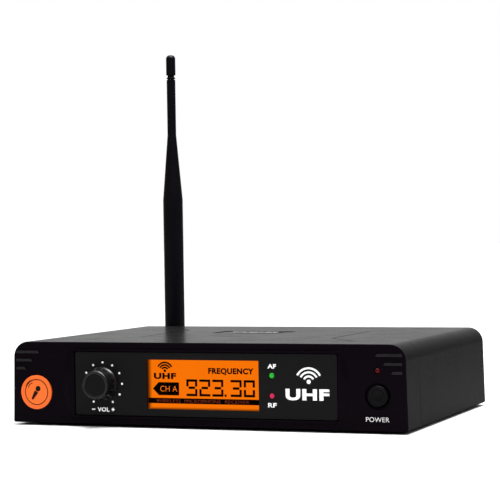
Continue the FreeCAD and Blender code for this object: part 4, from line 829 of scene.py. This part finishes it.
class RECEIVER_OT_print(bpy.types.Operator):
    """Print the scale, the labels and the radio mark on the front"""

    bl_idname = "receiver.print"
    bl_label = "Front print"

    def execute(self, context):
        size = context.scene.receiver_print
        ink = moulded("white ink", tuple(context.scene.receiver_colours.print), 0.45, grain=0.12 * MM,
                      depth=0.002 * MM, smudge=0.03, dust=0.0, edge=0.005 * MM, wear=0.0, tone=0.05)
        panel = corners("display_panel")[0].y
        fascia = corners("front_badge")[1].y
        knob = corners("volume_knob")[2]
        button = corners("power_button")[2]

        scale = bmesh.new()
        add_dot(scale, (0, size.ring_radius), size.dot_radius)
        half = size.dot_turn * (size.dot_count - 1) / 2
        first = Matrix.Rotation(half, 3, "Z")
        bmesh.ops.rotate(scale, cent=(0, 0, 0), matrix=first, verts=scale.verts)
        bmesh.ops.spin(scale, geom=scale.verts[:] + scale.edges[:] + scale.faces[:], cent=(0, 0, 0),
                       axis=(0, 0, 1), angle=-2 * half, steps=size.dot_count - 1, use_duplicate=True)
        word = -size.volume_drop
        add_letters(scale, "VOL", (0.1 * MM, word), size.volume_height, size.volume_width, 0.035)
        reach = size.volume_width / 2 + size.sign_gap
        add_bar(scale, (-reach, word), size.sign_width, size.sign_line, False)
        add_plus(scale, (reach, word), size.sign_width, size.sign_line)
        flat_piece("volume_scale", scale, size.ink, FACING_FRONT, (knob.x, panel, knob.z), ink)

        lamps = bmesh.new()
        af, rf = corners("af_led")[2], corners("rf_led")[2]
        middle = (af.z + rf.z) / 2
        for words, lamp, step in (("AF", af, size.lamp_step), ("RF", rf, -size.lamp_step)):
            add_letters(lamps, words, (0.2 * MM, lamp.z - middle + step), size.lamp_height, 4.5 * MM, 0.035)
        mark = size.mark_across
        add_waves(lamps, (mark, 2.2 * MM), size.mark_radius, 0.95 * MM)
        add_letters(lamps, "UHF", (mark - 0.8 * MM, -4.1 * MM), size.mark_word_height,
                    size.mark_word_width, 0.045)
        flat_piece("signal_print", lamps, size.ink, FACING_FRONT, (af.x, panel, middle), ink)

        power = bmesh.new()
        add_letters(power, "POWER", (-0.3 * MM, -size.power_drop), size.power_height, size.power_width,
                    -0.012)
        flat_piece("power_print", power, size.ink, FACING_FRONT, (button.x, fascia, button.z), ink)
        return {"FINISHED"}


class RECEIVER_OT_screen(bpy.types.Operator):
    """Draw the display's picture and light it"""

    bl_idname = "receiver.screen"
    bl_label = "Display"

    def execute(self, context):
        size = context.scene.receiver_screen
        tint = tuple(context.scene.receiver_colours.screen)
        low, _, centre = corners("lcd_window")
        glass = corners("lcd_glass")[0].y
        left, foot = low.x - centre.x, low.z - centre.z
        right, top = -left, -foot

        dark = bmesh.new()
        rise = foot + size.reading_rise
        first = left + size.reading_left + (size.figure_width + size.bar_width) / 2
        self.draw_reading(dark, size, first, rise)
        add_letters(dark, "FREQUENCY", (right - 3.0 * MM - size.title_width / 2, top - 5.5 * MM),
                    size.title_height, size.title_width, 0.05)
        tag_left, tag_right, tag_mid = left + size.tag_left, left + size.tag_right, rise - size.tag_drop
        shoulder, tag_top = tag_left + size.tag_point, tag_mid + size.tag_half
        tag_foot = tag_mid - size.tag_half
        add_plate(dark, [(tag_left, tag_mid), (shoulder, tag_foot), (tag_right, tag_foot),
                         (tag_right, tag_top), (shoulder, tag_top)])
        band_right, band_foot = left + size.band_width, foot + size.band_rise
        band_top = band_foot + size.band_height
        add_plate(dark, [(left, band_foot), (band_right, band_foot), (band_right, band_top),
                         (left, band_top)])
        icon = left + size.icon_left
        add_waves(dark, (icon, top - 5.5 * MM), 4.2 * MM, 0.85 * MM)
        add_letters(dark, "UHF", (icon, top - 8.1 * MM), 3.1 * MM, 12.2 * MM, 0.055)
        crystal = moulded("dark crystal", (0.003, 0.0012, 0.0008), 0.5, edge=0.01 * MM, wear=0.0, dust=0.0,
                          shine=0.02, tone=0.002)
        bright = bmesh.new()
        add_letters(bright, "CH A", ((tag_left + tag_right) / 2 + 1.5 * MM, tag_mid), 2.8 * MM, 9.2 * MM,
                    -0.012)
        dim = bmesh.new()
        add_letters(dim, "WIRELESS  MICROPHONE  RECEIVER",
                    (left + size.band_width / 2 - 0.5 * MM, band_foot + size.band_height / 2),
                    1.5 * MM, size.band_width - 10 * MM, -0.03)
        over = glass - size.picture_depth
        for name, shape, depth, finish in (
                ("screen_picture", dark, glass, crystal),
                ("screen_tag", bright, over, glowing("crystal orange", tint, tint, 0.85)),
                ("screen_band", dim, over,
                 glowing("crystal red", (0.05, 0.005, 0.003), (0.42, 0.06, 0.025), 1.0))):
            flat_piece(name, shape, size.picture_depth, FACING_FRONT, (centre.x, depth, centre.z), finish)
        dress(backlight("display light", tint, low), "lcd_glass")
        dress(clear("display window"), "lcd_window")
        return {"FINISHED"}

    def draw_reading(self, shape, size, at, rise):
        """Draw the reading's figures and its point from the first figure's middle."""
        half = size.point_size / 2
        joint = 1.01 * size.bar_width
        for sign in size.reading:
            if sign == ".":
                x, y = at - size.figure_pitch / 2, rise - size.figure_height / 2
                add_plate(shape, [(x, y - half), (x + 2 * half, y - half), (x + 2 * half, y + half),
                                  (x, y + half)])
                at += size.point_pitch
                continue
            for bar in FIGURES[sign]:
                across, up, upright = FIGURE_BARS[bar]
                reach = size.figure_height / 2 - joint
                if not upright:
                    reach = size.figure_width + (size.bar_width if up else -joint)
                add_bar(shape, (at + across * size.figure_width / 2, rise + up * size.figure_height / 4),
                        reach, size.bar_width, upright)
            at += size.figure_pitch


class RECEIVER_OT_lamps(bpy.types.Operator):
    """Give the three lamps their lenses, and light the signal and radio lamps"""

    bl_idname = "receiver.lamps"
    bl_label = "Lamps"

    def execute(self, context):
        tint = context.scene.receiver_colours
        for node, shade, strength in (("power_led", tint.power, 0.0), ("af_led", tint.signal, 0.11),
                                      ("rf_led", tint.radio, 0.07)):
            dress(glowing(node + " lens", tuple(shade), tuple(shade), strength, 0.15), node)
        return {"FINISHED"}


class RECEIVER_OT_badge(bpy.types.Operator):
    """Enamel the badge and give it a plain picture of a microphone"""

    bl_idname = "receiver.badge"
    bl_label = "Badge"

    def execute(self, context):
        low, high, centre = corners("front_badge")
        radius = (high.x - low.x) / 2
        size = context.scene.receiver_controls
        line = size.badge_line
        dress(moulded("badge enamel", tuple(context.scene.receiver_colours.badge), 0.25, grain=0.2 * MM,
                      depth=0.004 * MM, smudge=0.06, dust=0.0, wear=0.15, tone=0.08), "front_badge")
        drawn = bmesh.new()
        add_band(drawn, (0, 0), radius * 0.74, line, 0.0, FULL_TURN)
        add_microphone(drawn, (-radius * 0.05, -radius * 0.04), radius * 0.46)
        for share in (0.34, 0.5):
            add_band(drawn, (-radius * 0.2, radius * 0.2), radius * share, line, math.radians(100),
                     math.radians(70))
        black = moulded("badge black", (0.006, 0.005, 0.005), 0.3, edge=0.01 * MM, wear=0.0, dust=0.0)
        spot = (centre.x, low.y + size.badge_dish, centre.z)
        flat_piece("badge_picture", drawn, size.badge_height, FACING_FRONT, spot, black)
        return {"FINISHED"}


class RECEIVER_OT_labels(bpy.types.Operator):
    """Letter the cover's plaque and the rear panel"""

    bl_idname = "receiver.labels"
    bl_label = "Labels"

    def execute(self, context):
        size = context.scene.receiver_print
        grey = moulded("silver ink", (0.42, 0.42, 0.43), 0.35, grain=0.12 * MM, depth=0.004 * MM,
                       dust=0.0, edge=0.01 * MM, wear=0.0, tone=0.2)
        low, high, centre = corners("top_plaque")
        name = bmesh.new()
        add_letters(name, "RECEIVER", (0, 0), (high.y - low.y) * 0.32, (high.x - low.x) * 0.66, 0.02, 0.3)
        flat_piece("plaque_lettering", name, size.ink, FACING_UP, (centre.x, centre.y, high.z), grey)

        panel = corners("rear_panel")[1]
        rear = bmesh.new()
        for words, node, rise in (("BALANCED", "xlr_shell", 17.2 * MM), ("LINE OUT", "jack_nut", 9.6 * MM),
                                  ("DC IN", "dc_inlet", 8.2 * MM), ("SQUELCH", "squelch_rotor", 8.4 * MM),
                                  ("ANTENNA", "antenna_jack", 10.0 * MM)):
            spot = corners(node)[2]
            add_letters(rear, words, (-spot.x, spot.z + rise), size.rear_height, None, 0.01)
        trimmer = corners("squelch_rotor")[2]
        for turn in range(-2, 3):
            angle = math.radians(90 + 52 * turn)
            across, up = size.trimmer_ring * math.cos(angle), size.trimmer_ring * math.sin(angle)
            add_dot(rear, (across - trimmer.x, trimmer.z + up), size.trimmer_dot, 12)
        flat_piece("rear_lettering", rear, size.ink, FACING_REAR, (0, panel.y, 0), grey)
        return {"FINISHED"}


class RECEIVER_OT_stage(bpy.types.Operator):
    """Set the floor, the lights and the camera"""

    bl_idname = "receiver.stage"
    bl_label = "Stage"

    def execute(self, context):
        size = context.scene.receiver_stage
        scene = context.scene
        disc = bmesh.new()
        add_dot(disc, (0, 0), size.floor_radius, 96)
        mesh = bpy.data.meshes.new("floor")
        disc.to_mesh(mesh)
        disc.free()
        finish, tree, shader, where = start_finish("floor paper")
        # The paper is darker in the object's reflections than to the eye.
        drift = add_math(tree, "MULTIPLY", add_noise(tree, where, 3.0, 2.0), 0.03)
        mirrored = add_math(tree, "MULTIPLY", add_node(tree, "LightPath").outputs["Is Glossy Ray"], 0.9)
        shade = add_math(tree, "MAXIMUM", drift, mirrored)
        feed(tree, shader, Base_Color=tinted(tree, (0.93, 0.93, 0.93), (0.12, 0.12, 0.12), shade),
             Roughness=0.9, Specular_IOR_Level=0.1)
        mesh.materials.append(finish)
        floor = bpy.data.objects.new("floor", mesh)
        scene.collection.objects.link(floor)

        add_light("overhead light", "SUN", (0, 0, 1.5), energy=size.top_power, angle=math.radians(70))
        add_light("soft box", "AREA", size.box_at, energy=size.box_power, shape="RECTANGLE", size=0.5,
                  size_y=0.22)
        scene.world = studio_world(size.room_glow)
        scene.view_settings.view_transform = "Standard"

        lens = bpy.data.cameras.new("camera")
        lens.lens = size.camera_lens
        lens.sensor_width = 36.0
        lens.clip_start, lens.clip_end = 0.01, 100.0
        camera = bpy.data.objects.new("camera", lens)
        camera.location = size.camera_at
        camera.rotation_euler = size.camera_turn
        scene.collection.objects.link(camera)
        bpy.context.scene.camera = camera
        return {"FINISHED"}


OPERATORS = (
    RECEIVER_OT_case, RECEIVER_OT_ribs, RECEIVER_OT_inside, RECEIVER_OT_antenna, RECEIVER_OT_knob,
    RECEIVER_OT_button, RECEIVER_OT_print, RECEIVER_OT_screen, RECEIVER_OT_lamps, RECEIVER_OT_badge,
    RECEIVER_OT_labels, RECEIVER_OT_stage,
)
SETTINGS = {
    "receiver_print": ReceiverPrint, "receiver_screen": ReceiverScreen,
    "receiver_controls": ReceiverControls, "receiver_ribs": ReceiverRibs,
    "receiver_colours": ReceiverColours, "receiver_stage": ReceiverStage,
}


class RECEIVER_PT_sidebar(bpy.types.Panel):
    """Steps that dress the receiver"""

    bl_label = "Receiver"
    bl_idname = "RECEIVER_PT_sidebar"
    bl_space_type = "VIEW_3D"
    bl_region_type = "UI"
    bl_category = "Receiver"

    def draw(self, context):
        for operator in OPERATORS:
            self.layout.operator(operator.bl_idname)
        for name, settings in SETTINGS.items():
            box = self.layout.box()
            for key in settings.__annotations__:
                box.prop(getattr(context.scene, name), key)


def register():
    for made in (*SETTINGS.values(), *OPERATORS, RECEIVER_PT_sidebar):
        bpy.utils.register_class(made)
    for name, settings in SETTINGS.items():
        setattr(bpy.types.Scene, name, PointerProperty(type=settings))


def unregister():
    for name in SETTINGS:
        delattr(bpy.types.Scene, name)
    for made in reversed((*SETTINGS.values(), *OPERATORS, RECEIVER_PT_sidebar)):
        bpy.utils.unregister_class(made)


def main():
    """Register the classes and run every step."""
    register()
    for operator in OPERATORS:
        getattr(bpy.ops.receiver, operator.bl_idname.split(".")[1])()


if __name__ == "__main__":
    main()
